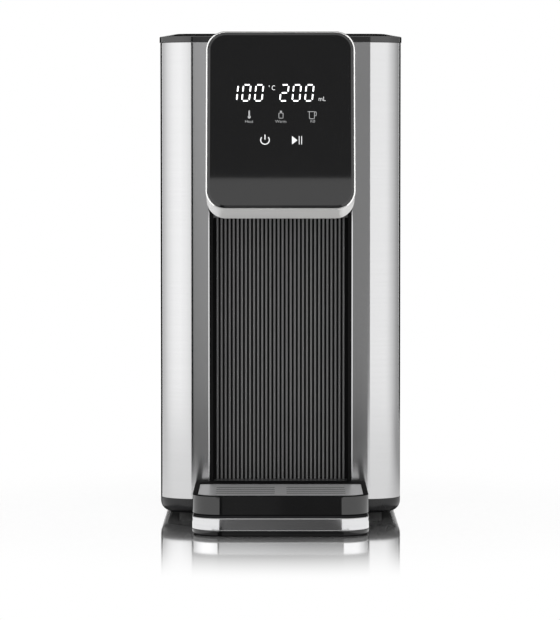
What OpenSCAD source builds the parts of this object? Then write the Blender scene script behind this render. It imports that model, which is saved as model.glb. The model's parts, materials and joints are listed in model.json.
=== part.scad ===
// Hot water dispenser: steel housing, tilted touch head, slide-out drip tray, lift-off rear tank.
// Millimetres, +Z up, front towards -Y, origin on the table under the middle of the footprint.

/* [Body] */
// Width over the steel side panels
body_w = 180; // [170:1:200]
// Depth of the steel housing, front flats to rear cover
housing_d = 112; // [108:1:130]
// Top edge of the steel panels above the table
panel_top = 356; // [350:1:380]
// Radius of the housing's upright corners
corner_r = 24; // [20:1:28]
// Thickness of the steel sheet
sheet_t = 1; // [0.8:0.1:1.5]
// Depth that each panel folds back into the bay
fold_d = 8; // [4:1:12]
// Wall of the moulded inner parts
wall = 2.4; // [2:0.1:3]
// Thickness of the rear cover
rear_t = 3.2; // [3:0.1:4]

/* [Base] */
// Height of the rubber feet under the housing
foot_h = 6; // [4:0.5:8]
// Radius of the rubber feet
foot_r = 10; // [7:0.5:12]
// Half the spacing of the feet across the base
foot_x = 66.5; // [55:0.5:70]
// Top edge of the base above the table
base_top = 16.6; // [16:0.1:20]
// Radius of the base's lower edge
base_fillet = 8; // [4:0.5:9]
// Thickness of the base floor
floor_t = 2.5; // [2:0.1:3]
// Width of the tongue that carries the drip tray
tongue_w = 127; // [116:1:135]
// Height of the tongue's deck above the table
tongue_top = 14.6; // [13:0.1:16]
// Gap between the tongue and the table
tongue_gap = 1; // [0.5:0.1:2]
// Radius of the tongue's front corners
tongue_r = 20; // [14:1:26]
// Height of the bright trim band
trim_h = 9.5; // [7:0.5:10]
// Thickness of the trim band
trim_t = 1; // [0.8:0.1:1.5]

/* [Dispensing bay] */
// Width of the bay between the steel folds
bay_w = 105; // [98:1:110]
// Depth of the bay from the front flats to the rib tips
bay_d = 16; // [14:1:20]
// Spacing of the upright ribs
rib_pitch = 3.05; // [2.8:0.05:4]
// Width of one rib
rib_w = 1.6; // [1.2:0.1:2]
// Depth of one rib
rib_d = 1.8; // [1.4:0.1:2.4]
// Wall of the bay liner
liner_t = 2; // [1.6:0.1:2.6]

/* [Head] */
// Width of the head ring
head_w = 108; // [104:1:112]
// Length of the head ring along its tilted face
head_len = 131.4; // [126:0.5:136]
// Lean of the face from upright
head_tilt = 13; // [10:0.5:16]
// Height of the ring's top front edge
head_top = 361.2; // [358:0.2:364]
// Reach of the ring's lower front edge ahead of the flats
head_reach = 90; // [84:1:98]
// Depth of the ring behind its face
ring_d = 30; // [26:1:34]
// Wall of the ring
ring_wall = 2.6; // [2.2:0.1:3.2]
// Width of the ring's edge left around the glass
rim_w = 1.2; // [1:0.1:1.6]
// Corner radius of the ring
head_r = 14; // [12:0.5:18]
// Thickness of the control glass
glass_t = 3; // [2:0.5:4]
// Depth of the display board behind the face
board_y = 14; // [12:0.5:16]
// Height of the upper key row along the face
key_row_1 = 70; // [66:1:72]
// Height of the lower key row along the face
key_row_2 = 51; // [46:1:56]
// Spacing of the keys in the upper row
key_pitch_1 = 22.8; // [18:0.2:26]
// Spacing of the keys in the lower row
key_pitch_2 = 22.9; // [18:0.2:26]
// Reach of the spout ahead of the flats
spout_reach = 44; // [40:1:50]
// Radius of the water way in the spout
spout_bore = 3.5; // [3:0.1:4]

/* [Drip tray] */
// Width of the drip tray
tray_w = 126.4; // [110:0.2:134]
// Reach of the tongue and tray ahead of the flats
tray_reach = 105; // [95:1:120]
// Height of the tray's rim above the table
tray_top = 30; // [27:0.5:34]
// Depth of the tray's back rim
tray_back = 18; // [12:1:24]
// Width of the tray's side rims
tray_rim = 3.6; // [3:0.1:5]
// Width of the tray's front rim
tray_front = 1.2; // [1:0.1:2]
// Thickness of the grille plate
grille_t = 1.5; // [1:0.1:2]
// Spacing of the rows of slots
slot_pitch = 13; // [10:0.5:16]
// Width of one slot
slot_w = 2.6; // [2:0.1:3.5]
// Half the width of the slotted area
slot_x = 47; // [40:1:52]

/* [Water tank] */
// Depth of the tank
tank_d = 86; // [80:1:100]
// Gap between the rear cover and the tank
tank_gap = 1; // [0.6:0.1:2]
// Inset of the tank's sides from the steel panels
tank_inset = 1; // [0.5:0.1:2]
// Wall of the tank
tank_wall = 2.4; // [2:0.1:3]
// Floor of the tank
tank_floor = 3; // [2.5:0.1:4]
// Thickness of the shelf under the tank
shelf_t = 3; // [2.5:0.1:4]
// Sideways place of the tank's outlet
socket_x = 36; // [34:1:44]
// Sideways place of the level float
float_x = -50; // [-60:1:-40]
// Radius of the level float
float_r = 12; // [10:0.5:14]
// Height of the level float
float_h = 18; // [14:1:22]
// Rise of the level float
float_rise = 28; // [20:1:40]
// Lift of the valve poppet off its seat
valve_lift = 2; // [1.5:0.1:3]
// Spare rise of the poppet above its held place
valve_spare = 2; // [1:0.1:3]

/* [Top cover] */
// Height of the top cover and the tank lid
cover_h = 6; // [5.6:0.2:8]
// Upright edge of the cover below its slope
cover_skirt = 3.7; // [3:0.1:4.5]
// Width of the slope around the cover
cover_bevel = 14; // [8:0.5:18]
// Overhang of the cover beyond the steel
cover_lip = 0.5; // [0.3:0.1:1]
// Radius of the lid's hinge edge
knuckle_r = 2.6; // [2.4:0.1:3]
// Radius of the lid's hinge pin
pin_r = 1.2; // [1:0.1:1.4]
// Half the spacing of the hinge ears
ear_x = 45; // [35:1:55]

/* [Water circuit] */
// Outer radius of the hoses
hose_r = 3.6; // [3.4:0.1:3.7]
// Bore radius of the hoses
hose_bore = 2.4; // [2.2:0.1:2.6]
// Radius of a hose bend along its middle
bend_r = 10; // [9:0.5:11]
// Length of a hose spigot
spigot_l = 8; // [7:0.5:9]
// Radius of the pump chamber
volute_r = 20; // [18:0.5:22]
// Radius of the pump motor
motor_r = 16; // [14:0.5:17]
// Length of the pump motor
motor_l = 42; // [36:1:44]
// Radius of the flow meter
meter_r = 14; // [12:0.5:16]
// Length of the heater block
heater_l = 120; // [100:1:130]
// Radius of the heater's water tube
tube_r = 6; // [5:0.2:7]
// Radius of the heating rod
rod_r = 5; // [4:0.2:6]

/* [Fits] */
// Gap around pieces that are fixed together
fit = 0.2; // [0.1:0.05:0.3]
// Gap around pieces that lift or slide
slip = 0.3; // [0.2:0.05:0.5]
// Radial gap of turning pieces
run_fit = 0.05; // [0.02:0.01:0.1]
// Radius of the case screws
screw_r = 1.5; // [1.2:0.1:1.7]

/* [Hidden] */
$fn = 48;
cut = 1;
total_d = tray_reach + housing_d + tank_gap + tank_d;
front_y = -total_d / 2;
back_y = total_d / 2;
face_y = front_y + tray_reach;
rear_y = face_y + housing_d;
tank_y = rear_y + tank_gap;
tank_mid = (tank_y + back_y) / 2;
tank_w = body_w - 2 * tank_inset;
tank_r = corner_r - tank_inset;
floor_top = foot_h + floor_t;
base_wall = 5;
trim_z = tongue_top - trim_h;
deck_t = 2.5;
deck_z = tongue_top - deck_t;
tongue_root = tongue_r + 4;
tongue_floor = 2.2;
deck_inset = trim_t + fit;
plateau_h = 2.4;
shelf_top = base_top + shelf_t;
tank_z = shelf_top + slip;
tank_in = tank_z + tank_floor;
tank_top = panel_top - 0.4;
chan_w = bay_w + 2 * sheet_t + 2 * fit;
chan_y = face_y + bay_d + rib_d + liner_t + fit;
in_y0 = chan_y + wall;
in_y1 = rear_y - rear_t;
in_x = body_w / 2 - sheet_t - fit - wall;
mid_y = grid((in_y0 + in_y1) / 2);
chassis_top = panel_top - 2;
liner_w = bay_w - 2 * fit;
bay_floor = tray_top - 1;
rib_n = floor((liner_w - 2 * liner_t - 2) / rib_pitch);
head_z = head_top - head_len * cos(head_tilt);
ring_low = head_z - ring_d * sin(head_tilt);
neck_w = liner_w - 2 * liner_t - 2 * fit;
neck_z0 = ring_low + ring_wall;
neck_z1 = ring_low + head_len * cos(head_tilt) - ring_wall;
neck_r = head_r - 1;
neck_y1 = face_y + bay_d;
spout_y = grid(face_y - spout_reach);
nozzle_r = 8;
nozzle_z = ring_low + 0.8;
flange_r = 12;
flange_t = 2.6;
manifold_z = neck_z0 + wall + flange_t;
manifold_h = 28;
board_t = 1.6;
module_z = key_row_1 + 5;
module_h = 24;
module_w = 72;
pad_r = 4;
tray_y1 = face_y - slip;
tray_z = tongue_top + slip;
tray_floor = 2;
tray_wall = tray_rim + 2;
ledge_z = tray_top - slip - grille_t;
basin_z = tongue_top + plateau_h + 0.4 + tray_floor;
spigot_r = hose_bore - run_fit;
spigot_bore = 1.6;
socket_r = 14;
socket_cup = 12;
socket_floor = floor_top + 2;
suction_z = grid(floor_top + hose_r + fit);
valve_r = 10;
valve_bore = 7.5;
seat_t = 2;
valve_z = socket_floor + 3.1;
seat_z = valve_z + seat_t;
poppet_t = 1.5;
poppet_z = seat_z + valve_lift;
prop_z = socket_floor + 2.1;
valve_flange = 13;
valve_top = tank_in + 2;
filter_r = 12;
filter_wall = 1.2;
filter_top = valve_top + 4.6 + valve_spare;
spring_r = 4.6;
spring_wire = 0.45;
guide_r = 1.8;
post_r = 2.5;
handle_z = tank_top - 22;
handle_h = 10;
lid_gap = 0.4;
lid_pin_y = back_y - knuckle_r - slip;
lid_pin_z = panel_top + knuckle_r;
ear_w = 8;
pump_x = 0;
pump_z = grid(floor_top + 5.5 + volute_r);
volute_l = 18;
chamber_r = volute_r - 3.5;
chamber_l = 15;
volute_x0 = pump_x - volute_l / 2;
volute_x1 = pump_x + volute_l / 2;
shaft_r = 1.5;
pump_top = pump_z + volute_r;
meter_z = pump_top + 2 * spigot_l + 8 + meter_r;
meter_t = 14;
meter_y0 = mid_y - meter_t / 2;
meter_wall = 2.5;
meter_pin = 1.2;
meter_top = meter_z + meter_r;
tube_z0 = meter_top + 2 * spigot_l + 8;
block_z0 = tube_z0 + 8;
block_z1 = block_z0 + heater_l;
tube_z1 = block_z1 + 10;
outlet_turn = tube_z1 + spigot_l + bend_r + 4;
block_d = 24;
block_x0 = -14;
block_x1 = 36;
element_x = 22;
window_z0 = outlet_turn - 30;
window_z1 = outlet_turn + 10;
cable_z = outlet_turn - 20;
cable_x = -20;
cable_r = 2;
post_l = 12;
power_x = -in_x + 4.4;
power_z0 = base_top + 104;
power_z1 = power_z0 + 150;
power_y0 = in_y0 + 6;
power_y1 = in_y1 - post_l - 2;
post_rows = [base_top + 30, (base_top + panel_top) / 2, panel_top - 30];
base_rows = [face_y + corner_r + 8, in_y1 - 18];
boss_x = in_x - 3;
screw_head = 1.8;
gland_x = -body_w / 2 + 30;
gland_z = floor_top + 3.3;
gland_r = 4;
gland_bore = 3.1;

// Plan with two rounded front corners
module nose_plan(w, y0, y1, r) {
    translate([-w / 2, y0 + r]) square([w, y1 - y0 - r]);
    translate([-w / 2 + r, y0]) square([w - 2 * r, y1 - y0]);
    for (s = [-1, 1])
        translate([s * (w / 2 - r), y0 + r]) circle(r);
}

// Plan with two rounded rear corners
module tail_plan(w, y0, y1, r) {
    mirror([0, 1]) nose_plan(w, -y1, -y0, r);
}

// Centred plan with four rounded corners
module round_plan(w, h, r) {
    square([w - 2 * r, h], center = true);
    square([w, h - 2 * r], center = true);
    for (x = [-1, 1], y = [-1, 1])
        translate([x * (w / 2 - r), y * (h / 2 - r)]) circle(r);
}

// Outline of the housing, inset by i and closed at y = rear
module housing_plan(i, rear) {
    nose_plan(body_w - 2 * i, face_y + i, rear, corner_r - i);
}

// Outline of the tongue, inset by i and closed at y = rear
module tongue_plan(i, rear) {
    nose_plan(tongue_w - 2 * i, front_y + i, rear, tongue_r - i);
}

// Outline of the tank, inset by i
module tank_plan(i) {
    intersection() {
        tail_plan(tank_w - 2 * i, tank_y + i, back_y - i, tank_r - i);
        nose_plan(tank_w - 2 * i, tank_y + i, back_y - i, 6 - i);
    }
}

// Block with rounded upright corners and a rounded lower edge
module slab(w, y0, y1, h, r, f) {
    side = concat([[0, 0]], [for (a = [-90:15:0]) [r - f + f * cos(a), f + f * sin(a)]], [[r, h], [0, h]]);
    hull()
        for (x = [-w / 2 + r, w / 2 - r], y = [y0 + r, y1 - r])
            translate([x, y, 0]) rotate_extrude($fn = 32) polygon(side);
}

// Cylinders along X, along Y and upright
module rod_x(x0, x1, y, z, r) {
    translate([x0, y, z]) rotate([0, 90, 0]) cylinder(r = r, h = x1 - x0);
}

module rod_y(x, y0, y1, z, r) {
    translate([x, y0, z]) rotate([-90, 0, 0]) cylinder(r = r, h = y1 - y0);
}

module rod_z(x, y, z0, z1, r) {
    translate([x, y, z0]) cylinder(r = r, h = z1 - z0);
}

AXES = [[1, 0, 0], [0, 1, 0], [0, 0, 1], [-1, 0, 0], [0, -1, 0], [0, 0, -1]];

function unit(v) = v / norm(v);

// Length on a grid of 1/8 mm, so that straights, bends and spigots meet exactly
function grid(c) = round(c * 8) / 8;

// Round run through a list of points with square turns, each straight starting off its bends' inner side
module run(points, r, bend) {
    p = [for (v = points) [for (c = v) grid(c)]];
    n = len(p);
    for (i = [0:n - 2]) {
        d = unit(p[i + 1] - p[i]);
        a = i == 0 ? p[0] : p[i] + bend * d;
        b = i == n - 2 ? p[n - 1] : p[i + 1] - bend * d;
        last = i == 0 ? [0, 0, 0] : unit(p[i] - p[i - 1]);
        next = i == n - 2 ? [0, 0, 0] : unit(p[i + 2] - p[i + 1]);
        x = [for (c = AXES) if (abs(c * d) < 0.5 && c * last > -0.5 && c * next < 0.5) c][0];
        y = cross(d, x);
        multmatrix([[x[0], y[0], d[0], a[0]], [x[1], y[1], d[1], a[1]], [x[2], y[2], d[2], a[2]]])
            cylinder(r = r, h = norm(b - a));
    }
    if (n > 2)
        for (i = [1:n - 2]) {
            a = unit(p[i] - p[i - 1]);
            b = unit(p[i + 1] - p[i]);
            c = p[i] - bend * a + bend * b;
            k = cross(a, b);
            multmatrix([[-b[0], a[0], k[0], c[0]], [-b[1], a[1], k[1], c[1]], [-b[2], a[2], k[2], c[2]]])
                rotate_extrude(angle = 90) translate([bend, 0]) circle(r);
        }
}

// Hollow hose along a list of points
module hose(p) {
    n = len(p);
    d0 = unit(p[1] - p[0]);
    d1 = unit(p[n - 1] - p[n - 2]);
    q = [for (i = [0:n - 1]) i == 0 ? p[0] - cut * d0 : i == n - 1 ? p[i] + cut * d1 : p[i]];
    difference() {
        run(p, hose_r, bend_r);
        run(q, hose_bore, bend_r);
    }
}

// Places a child in the frame of the tilted face: X right, Z up the face, Y into the head
module head_space() {
    translate([0, face_y - head_reach, head_z]) rotate([-head_tilt, 0, 0]) children();
}

// Rounded block in the face's frame, inset by i, from depth y0 to y1
module face_block(i, y0, y1) {
    translate([0, y1, 0])
        rotate([90, 0, 0])
            linear_extrude(y1 - y0)
                translate([0, head_len / 2])
                    round_plan(head_w - 2 * i, head_len - 2 * i, head_r - i);
}

// Level block of the head's neck, inset by i
module neck_block(i, y0, y1) {
    translate([0, y1, (neck_z0 + neck_z1) / 2])
        rotate([90, 0, 0])
            linear_extrude(y1 - y0)
                round_plan(neck_w - 2 * i, neck_z1 - neck_z0 - 2 * i, neck_r - i);
}

// Opening in the bay's back for the outlet hose and the cable
module back_window() {
    translate([-32, neck_y1 - cut, window_z0]) cube([46, in_y0 - neck_y1 + 2 * cut, window_z1 - window_z0]);
}

// Places of the screws that hold the neck
module neck_screw_spots() {
    for (x = [-1, 1], z = [neck_z0 + 20, neck_z1 - 20])
        translate([x * (neck_w / 2 - wall - 4), 0, z]) children();
}

// Places of the screws that hold the display board
module board_screw_spots() {
    for (x = [-1, 1], z = [18, head_len - 18])
        translate([x * (head_w / 2 - ring_wall - 3), 0, z]) children();
}

// Sloped top over the housing and the tank
module top_form() {
    hull()
        for (x = [-1, 1], y = [face_y + corner_r, back_y - corner_r])
            translate([x * (body_w / 2 - corner_r), y, panel_top]) {
                cylinder(r = corner_r + cover_lip, h = cover_skirt);
                cylinder(r = max(1, corner_r + cover_lip - cover_bevel), h = cover_h);
            }
}

foot_spots = [[-foot_x, face_y + 36], [foot_x, face_y + 36], [-foot_x, back_y - 36], [foot_x, back_y - 36]];
toe_spots = [[-tongue_w / 2 + 20, front_y + 24], [tongue_w / 2 - 20, front_y + 24]];

module base() {
    color("#2c2d2f")
        difference() {
            union() {
                translate([0, 0, foot_h])
                    slab(body_w, face_y, back_y, base_top - foot_h, corner_r, base_fillet);
                translate([0, 0, tongue_gap])
                    slab(tongue_w, front_y, face_y + tongue_root, trim_z - tongue_gap, tongue_r, tongue_floor);
                translate([0, 0, trim_z])
                    linear_extrude(deck_z - trim_z) tongue_plan(deck_inset, face_y + base_wall);
                translate([0, 0, trim_z])
                    linear_extrude(floor_top - trim_z)
                        intersection() {
                            tail_plan(tongue_w, face_y, face_y + tongue_root, tongue_r);
                            translate([-tongue_w / 2, face_y]) square([tongue_w, tongue_root]);
                        }
            }
            difference() {
                translate([0, 0, floor_top])
                    linear_extrude(base_top)
                        intersection() {
                            housing_plan(base_wall, back_y - base_wall);
                            tail_plan(body_w, face_y, back_y - base_wall, corner_r - base_wall);
                        }
                for (x = [-1, 1], y = base_rows)
                    rod_z(x * boss_x, y, foot_h, base_top, 5);
            }
            translate([0, 0, tongue_gap + tongue_floor])
                linear_extrude(deck_z - tongue_gap - tongue_floor + cut)
                    tongue_plan(deck_inset + wall, face_y - wall);
            for (p = foot_spots)
                rod_z(p[0], p[1], 0, floor_top + cut, 3 + fit);
            for (p = toe_spots)
                rod_z(p[0], p[1], 0, tongue_gap + tongue_floor + cut, 2.5 + fit);
            for (x = [-1, 1], y = base_rows) {
                rod_z(x * boss_x, y, 0, base_top + cut, screw_r + fit);
                rod_z(x * boss_x, y, 0, foot_h + screw_head + 0.4, 2 * screw_r + fit);
            }
            rod_y(gland_x, back_y - base_wall - cut, back_y + cut, gland_z, gland_r + fit);
        }
}

module base_trim() {
    color("#b9bbbd")
        translate([0, 0, trim_z])
            linear_extrude(trim_h)
                difference() {
                    tongue_plan(0, face_y - fit);
                    tongue_plan(trim_t, face_y + cut);
                }
}

module tray_deck() {
    color("#242527") {
        translate([0, 0, deck_z]) linear_extrude(deck_t) tongue_plan(deck_inset, face_y - fit);
        translate([0, 0, tongue_top])
            linear_extrude(plateau_h)
                nose_plan(tray_w - 2 * tray_wall, front_y + tray_wall + slip, face_y - 2, tongue_r - tray_wall);
    }
}

module rubber_feet() {
    color("#1b1b1c") {
        for (p = foot_spots) {
            rod_z(p[0], p[1], 0, foot_h, foot_r);
            rod_z(p[0], p[1], foot_h, floor_top, 3);
        }
        for (p = toe_spots) {
            rod_z(p[0], p[1], 0, tongue_gap, 7);
            rod_z(p[0], p[1], tongue_gap, tongue_gap + tongue_floor, 2.5);
        }
    }
}

module base_screws() {
    color("#9a9da0")
        for (x = [-1, 1], y = base_rows) {
            rod_z(x * boss_x, y, foot_h + 0.4, foot_h + 0.4 + screw_head, 2 * screw_r);
            rod_z(x * boss_x, y, foot_h + 0.4 + screw_head, base_top + 16, screw_r);
        }
}

module steel_panel() {
    translate([0, 0, base_top])
        linear_extrude(panel_top - base_top) {
            difference() {
                housing_plan(0, rear_y);
                housing_plan(sheet_t, rear_y + cut);
                translate([-body_w, face_y - cut]) square([body_w + bay_w / 2, housing_d + 2 * cut]);
            }
            translate([bay_w / 2, face_y]) square([sheet_t, fold_d]);
        }
}

module right_panel() {
    color("#a5a8aa") steel_panel();
}

module left_panel() {
    color("#a5a8aa") mirror([1, 0, 0]) steel_panel();
}

module channel_plan(g) {
    translate([-chan_w / 2 - g, face_y - cut]) square([chan_w + 2 * g, chan_y - face_y + cut + g]);
}

module chassis() {
    color("#333436")
        difference() {
            union() {
                translate([0, 0, base_top])
                    linear_extrude(chassis_top - base_top)
                        difference() {
                            housing_plan(sheet_t + fit, in_y1);
                            difference() {
                                housing_plan(sheet_t + fit + wall, in_y1 + cut);
                                channel_plan(wall);
                            }
                            channel_plan(0);
                        }
                for (x = [-1, 1], z = post_rows)
                    rod_y(x * boss_x, in_y1 - post_l, in_y1, z, 4);
                for (x = [-1, 1], y = base_rows)
                    rod_z(x * boss_x, y, base_top, base_top + 22, 4);
                for (y = [power_y0 + 8, power_y1 - 8], z = [power_z0 + 8, power_z1 - 8])
                    rod_x(-in_x - wall / 2, power_x, y, z, 3);
            }
            for (x = [-1, 1], z = post_rows)
                rod_y(x * boss_x, in_y1 - post_l + 1, in_y1 + cut, z, screw_r + run_fit);
            for (x = [-1, 1], y = base_rows)
                rod_z(x * boss_x, y, base_top - cut, base_top + 18, screw_r + run_fit);
            back_window();
            neck_screw_spots() rod_y(0, neck_y1, in_y0 + cut, 0, screw_r + fit);
        }
}

module bay_liner() {
    back_y0 = face_y + bay_d + rib_d;
    color("#1a1a1b")
        difference() {
            union() {
                translate([0, 0, base_top])
                    linear_extrude(chassis_top - base_top)
                        difference() {
                            translate([-liner_w / 2, face_y + sheet_t])
                                square([liner_w, bay_d + rib_d + liner_t - sheet_t]);
                            translate([-liner_w / 2 + liner_t, face_y])
                                square([liner_w - 2 * liner_t, bay_d + rib_d]);
                        }
                translate([0, 0, bay_floor])
                    linear_extrude(neck_z0 - 4 - bay_floor)
                        for (i = [0:rib_n - 1])
                            translate([(i - (rib_n - 1) / 2) * rib_pitch, back_y0]) {
                                translate([-rib_w / 2, -rib_d + rib_w / 2]) square([rib_w, rib_d - rib_w / 2]);
                                translate([0, -rib_d + rib_w / 2]) circle(rib_w / 2, $fn = 24);
                            }
                translate([-liner_w / 2, neck_y1, neck_z0 - 4])
                    cube([liner_w, rib_d + liner_t, chassis_top - neck_z0 + 4]);
                translate([-liner_w / 2, face_y + sheet_t, bay_floor - liner_t])
                    cube([liner_w, bay_d + rib_d, liner_t]);
                translate([-liner_w / 2, face_y + sheet_t, base_top])
                    cube([liner_w, liner_t, bay_floor - base_top]);
            }
            back_window();
            neck_screw_spots() rod_y(0, neck_y1 - cut, chan_y + cut, 0, screw_r + fit);
        }
}

module rear_cover() {
    color("#222325")
        difference() {
            translate([-body_w / 2 + sheet_t + fit, in_y1, base_top])
                cube([body_w - 2 * sheet_t - 2 * fit, rear_t, chassis_top - base_top]);
            for (x = [-1, 1], z = post_rows) {
                rod_y(x * boss_x, in_y1 - cut, rear_y + cut, z, screw_r + fit);
                rod_y(x * boss_x, rear_y - screw_head - 0.2, rear_y + cut, z, 2 * screw_r + fit);
            }
        }
}

module rear_cover_screws() {
    color("#9a9da0")
        for (x = [-1, 1], z = post_rows) {
            rod_y(x * boss_x, in_y1 - post_l + 2, rear_y - screw_head - 0.2, z, screw_r);
            rod_y(x * boss_x, rear_y - screw_head - 0.2, rear_y - 0.2, z, 2 * screw_r);
        }
}

module top_cover() {
    plug_i = sheet_t + 2 * fit + wall;
    color("#242527")
        difference() {
            union() {
                intersection() {
                    top_form();
                    translate([-body_w, face_y - 10, panel_top - cut])
                        cube([2 * body_w, housing_d + 10, cover_h + 2 * cut]);
                }
                translate([0, 0, chassis_top - 4])
                    linear_extrude(panel_top - chassis_top + 4 + 2)
                        difference() {
                            housing_plan(plug_i, in_y1 - 14);
                            channel_plan(wall + fit);
                        }
            }
            translate([0, 0, chassis_top - 5])
                linear_extrude(panel_top - chassis_top + 5 + 2.6)
                    difference() {
                        housing_plan(plug_i + 1.8, in_y1 - 16);
                        channel_plan(wall + fit + 1.8);
                    }
        }
}

module tank_shelf() {
    color("#2c2d2f")
        translate([0, 0, base_top])
            linear_extrude(shelf_t)
                difference() {
                    tail_plan(body_w, rear_y + fit, back_y, corner_r);
                    translate([socket_x, tank_mid]) circle(socket_r + fit);
                }
}

module cord_gland() {
    color("#1b1b1c")
        difference() {
            rod_y(gland_x, back_y - base_wall, back_y - 0.4, gland_z, gland_r);
            rod_y(gland_x, back_y - base_wall - cut, back_y + cut, gland_z, gland_bore);
        }
}

module drip_tray() {
    plan_r = tongue_r - slip;
    color("#19191a")
        difference() {
            translate([0, 0, tray_z])
                linear_extrude(tray_top - tray_z)
                    nose_plan(tray_w, front_y + slip, tray_y1, plan_r);
            translate([0, 0, tray_z - cut])
                linear_extrude(tongue_top + plateau_h + 0.4 - tray_z + cut)
                    nose_plan(tray_w - 2 * tray_wall + 2 * slip, front_y + tray_wall, face_y + cut, plan_r - tray_wall);
            translate([0, 0, basin_z])
                linear_extrude(tray_top)
                    nose_plan(tray_w - 2 * tray_wall, front_y + tray_front + 3, tray_y1 - tray_back - 2, plan_r - 5);
            translate([0, 0, ledge_z]) linear_extrude(tray_top) grille_plan(0);
            translate([-tray_w / 2 + tray_wall, tray_y1 - tray_back, tray_z])
                cube([tray_w - 2 * tray_wall, tray_back - 2.4, tray_top - tray_z - 2.4]);
        }
}

module grille_plan(i) {
    intersection() {
        nose_plan(tray_w - 2 * tray_front - 2 * i, front_y + slip + tray_front + i, tray_y1,
            tongue_r - slip - tray_front - i);
        translate([-tray_w / 2 + tray_rim + i, front_y])
            square([tray_w - 2 * tray_rim - 2 * i, tray_reach - slip - tray_back - i]);
    }
}

module drip_grille() {
    slots_y = (front_y + tray_front + tray_y1 - tray_back) / 2;
    color("#8f9294")
        translate([0, 0, ledge_z])
            linear_extrude(grille_t)
                difference() {
                    grille_plan(slip);
                    for (k = [-1.5:1:1.5], s = [-1, 1])
                        translate([s * (slot_x + 4) / 2, slots_y + k * slot_pitch])
                            round_plan(slot_x - 4, slot_w, slot_w / 2 - 0.01);
                }
}

module head_ring() {
    color("#c9cacb")
        head_space()
            difference() {
                union() {
                    difference() {
                        face_block(0, 0, ring_d);
                        face_block(rim_w, -cut, glass_t);
                        face_block(ring_wall, -2 * cut, ring_d + cut);
                    }
                    board_screw_spots() rod_y(0, glass_t + 2, board_y, 0, 4);
                }
                board_screw_spots() rod_y(0, glass_t + 4, board_y + cut, 0, 1.2 + run_fit);
            }
}

module control_glass() {
    color("#111214") head_space() face_block(rim_w + fit / 2, 0, glass_t);
}

module display_board() {
    color("#1f5a3a")
        head_space()
            difference() {
                face_block(ring_wall + 2 * fit, board_y, board_y + board_t);
                board_screw_spots() rod_y(0, board_y - cut, board_y + board_t + cut, 0, 1.2 + fit);
            }
}

module display_module() {
    color("#e8e8e4")
        head_space()
            translate([-module_w / 2, glass_t + fit, module_z])
                cube([module_w, board_y - glass_t - fit, module_h]);
}

module touch_pads() {
    color("#3a3a3c")
        head_space() {
            for (k = [-1:1])
                rod_y(k * key_pitch_1, glass_t + fit / 2, board_y, key_row_1, pad_r);
            for (s = [-1, 1])
                rod_y(s * key_pitch_2 / 2, glass_t + fit / 2, board_y, key_row_2, pad_r);
        }
}

module head_shell() {
    color("#1d1d1f")
        difference() {
            union() {
                difference() {
                    neck_block(0, face_y - head_reach, neck_y1);
                    head_space()
                        translate([-head_w, -head_len, -head_len]) cube([2 * head_w, head_len + ring_d, 3 * head_len]);
                }
                head_space() face_block(ring_wall + fit, ring_d - 6, ring_d + 1.2);
            }
            difference() {
                union() {
                    neck_block(wall, face_y - head_reach, neck_y1 + cut);
                    head_space() face_block(ring_wall + fit + wall, ring_d - 7, ring_d + 1.2);
                }
                neck_screw_spots() rod_y(0, neck_y1 - 14, neck_y1, 0, 4.4);
            }
            neck_screw_spots() rod_y(0, neck_y1 - 13, neck_y1 + cut, 0, screw_r + run_fit);
            rod_z(0, spout_y, neck_z0 - cut, neck_z0 + wall + cut, nozzle_r + fit);
        }
}

module head_screws() {
    color("#9a9da0") {
        neck_screw_spots() {
            rod_y(0, neck_y1 - 11, in_y0, 0, screw_r);
            rod_y(0, in_y0, in_y0 + screw_head, 0, 2 * screw_r);
        }
        head_space()
            board_screw_spots() {
                rod_y(0, glass_t + 5, board_y + board_t, 0, 1.2);
                rod_y(0, board_y + board_t, board_y + board_t + 1.6, 0, 2.2);
            }
    }
}

module spout_nozzle() {
    color("#19191a")
        difference() {
            union() {
                rod_z(0, spout_y, nozzle_z, neck_z0 + wall, nozzle_r);
                rod_z(0, spout_y, neck_z0 + wall, manifold_z, flange_r);
            }
            rod_z(0, spout_y, nozzle_z - cut, manifold_z + cut, spout_bore);
        }
}

module outlet_manifold() {
    z1 = manifold_z + manifold_h;
    color("#d8d4c8")
        difference() {
            union() {
                rod_z(0, spout_y, manifold_z, z1, 11);
                rod_z(0, spout_y, z1, z1 + spigot_l, spigot_r);
            }
            rod_z(0, spout_y, manifold_z + 2, z1 - 2, 8.6);
            rod_z(0, spout_y, manifold_z - cut, manifold_z + 3, spout_bore);
            rod_z(0, spout_y, z1 - 3, z1 + spigot_l + cut, spigot_bore);
        }
}

module tank() {
    color("#5a6066")
        difference() {
            union() {
                difference() {
                    translate([0, 0, tank_z]) linear_extrude(tank_top - tank_z) tank_plan(0);
                    translate([0, 0, tank_in]) linear_extrude(tank_top) tank_plan(tank_wall);
                }
                for (s = [-1, 1]) {
                    translate([s * ear_x - ear_w / 2, lid_pin_y - knuckle_r, tank_top - 6])
                        cube([ear_w, back_y - lid_pin_y + knuckle_r - slip, 6 + lid_pin_z - tank_top]);
                    rod_x(s * ear_x - ear_w / 2, s * ear_x + ear_w / 2, lid_pin_y, lid_pin_z, knuckle_r);
                    translate([s * (tank_w / 2 - tank_wall - 1.4) - 1.6, tank_mid - 15, handle_z - 12])
                        cube([3.2, 30, 3]);
                }
            }
            rod_z(socket_x, tank_mid, tank_z - cut, tank_in + cut, valve_r + fit);
            rod_z(float_x, tank_mid, tank_in - 1.6, tank_in + cut, post_r + run_fit);
            for (s = [-1, 1])
                rod_x(s * ear_x - ear_w / 2 - cut, s * ear_x + ear_w / 2 + cut, lid_pin_y, lid_pin_z, pin_r + run_fit);
        }
}

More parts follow.
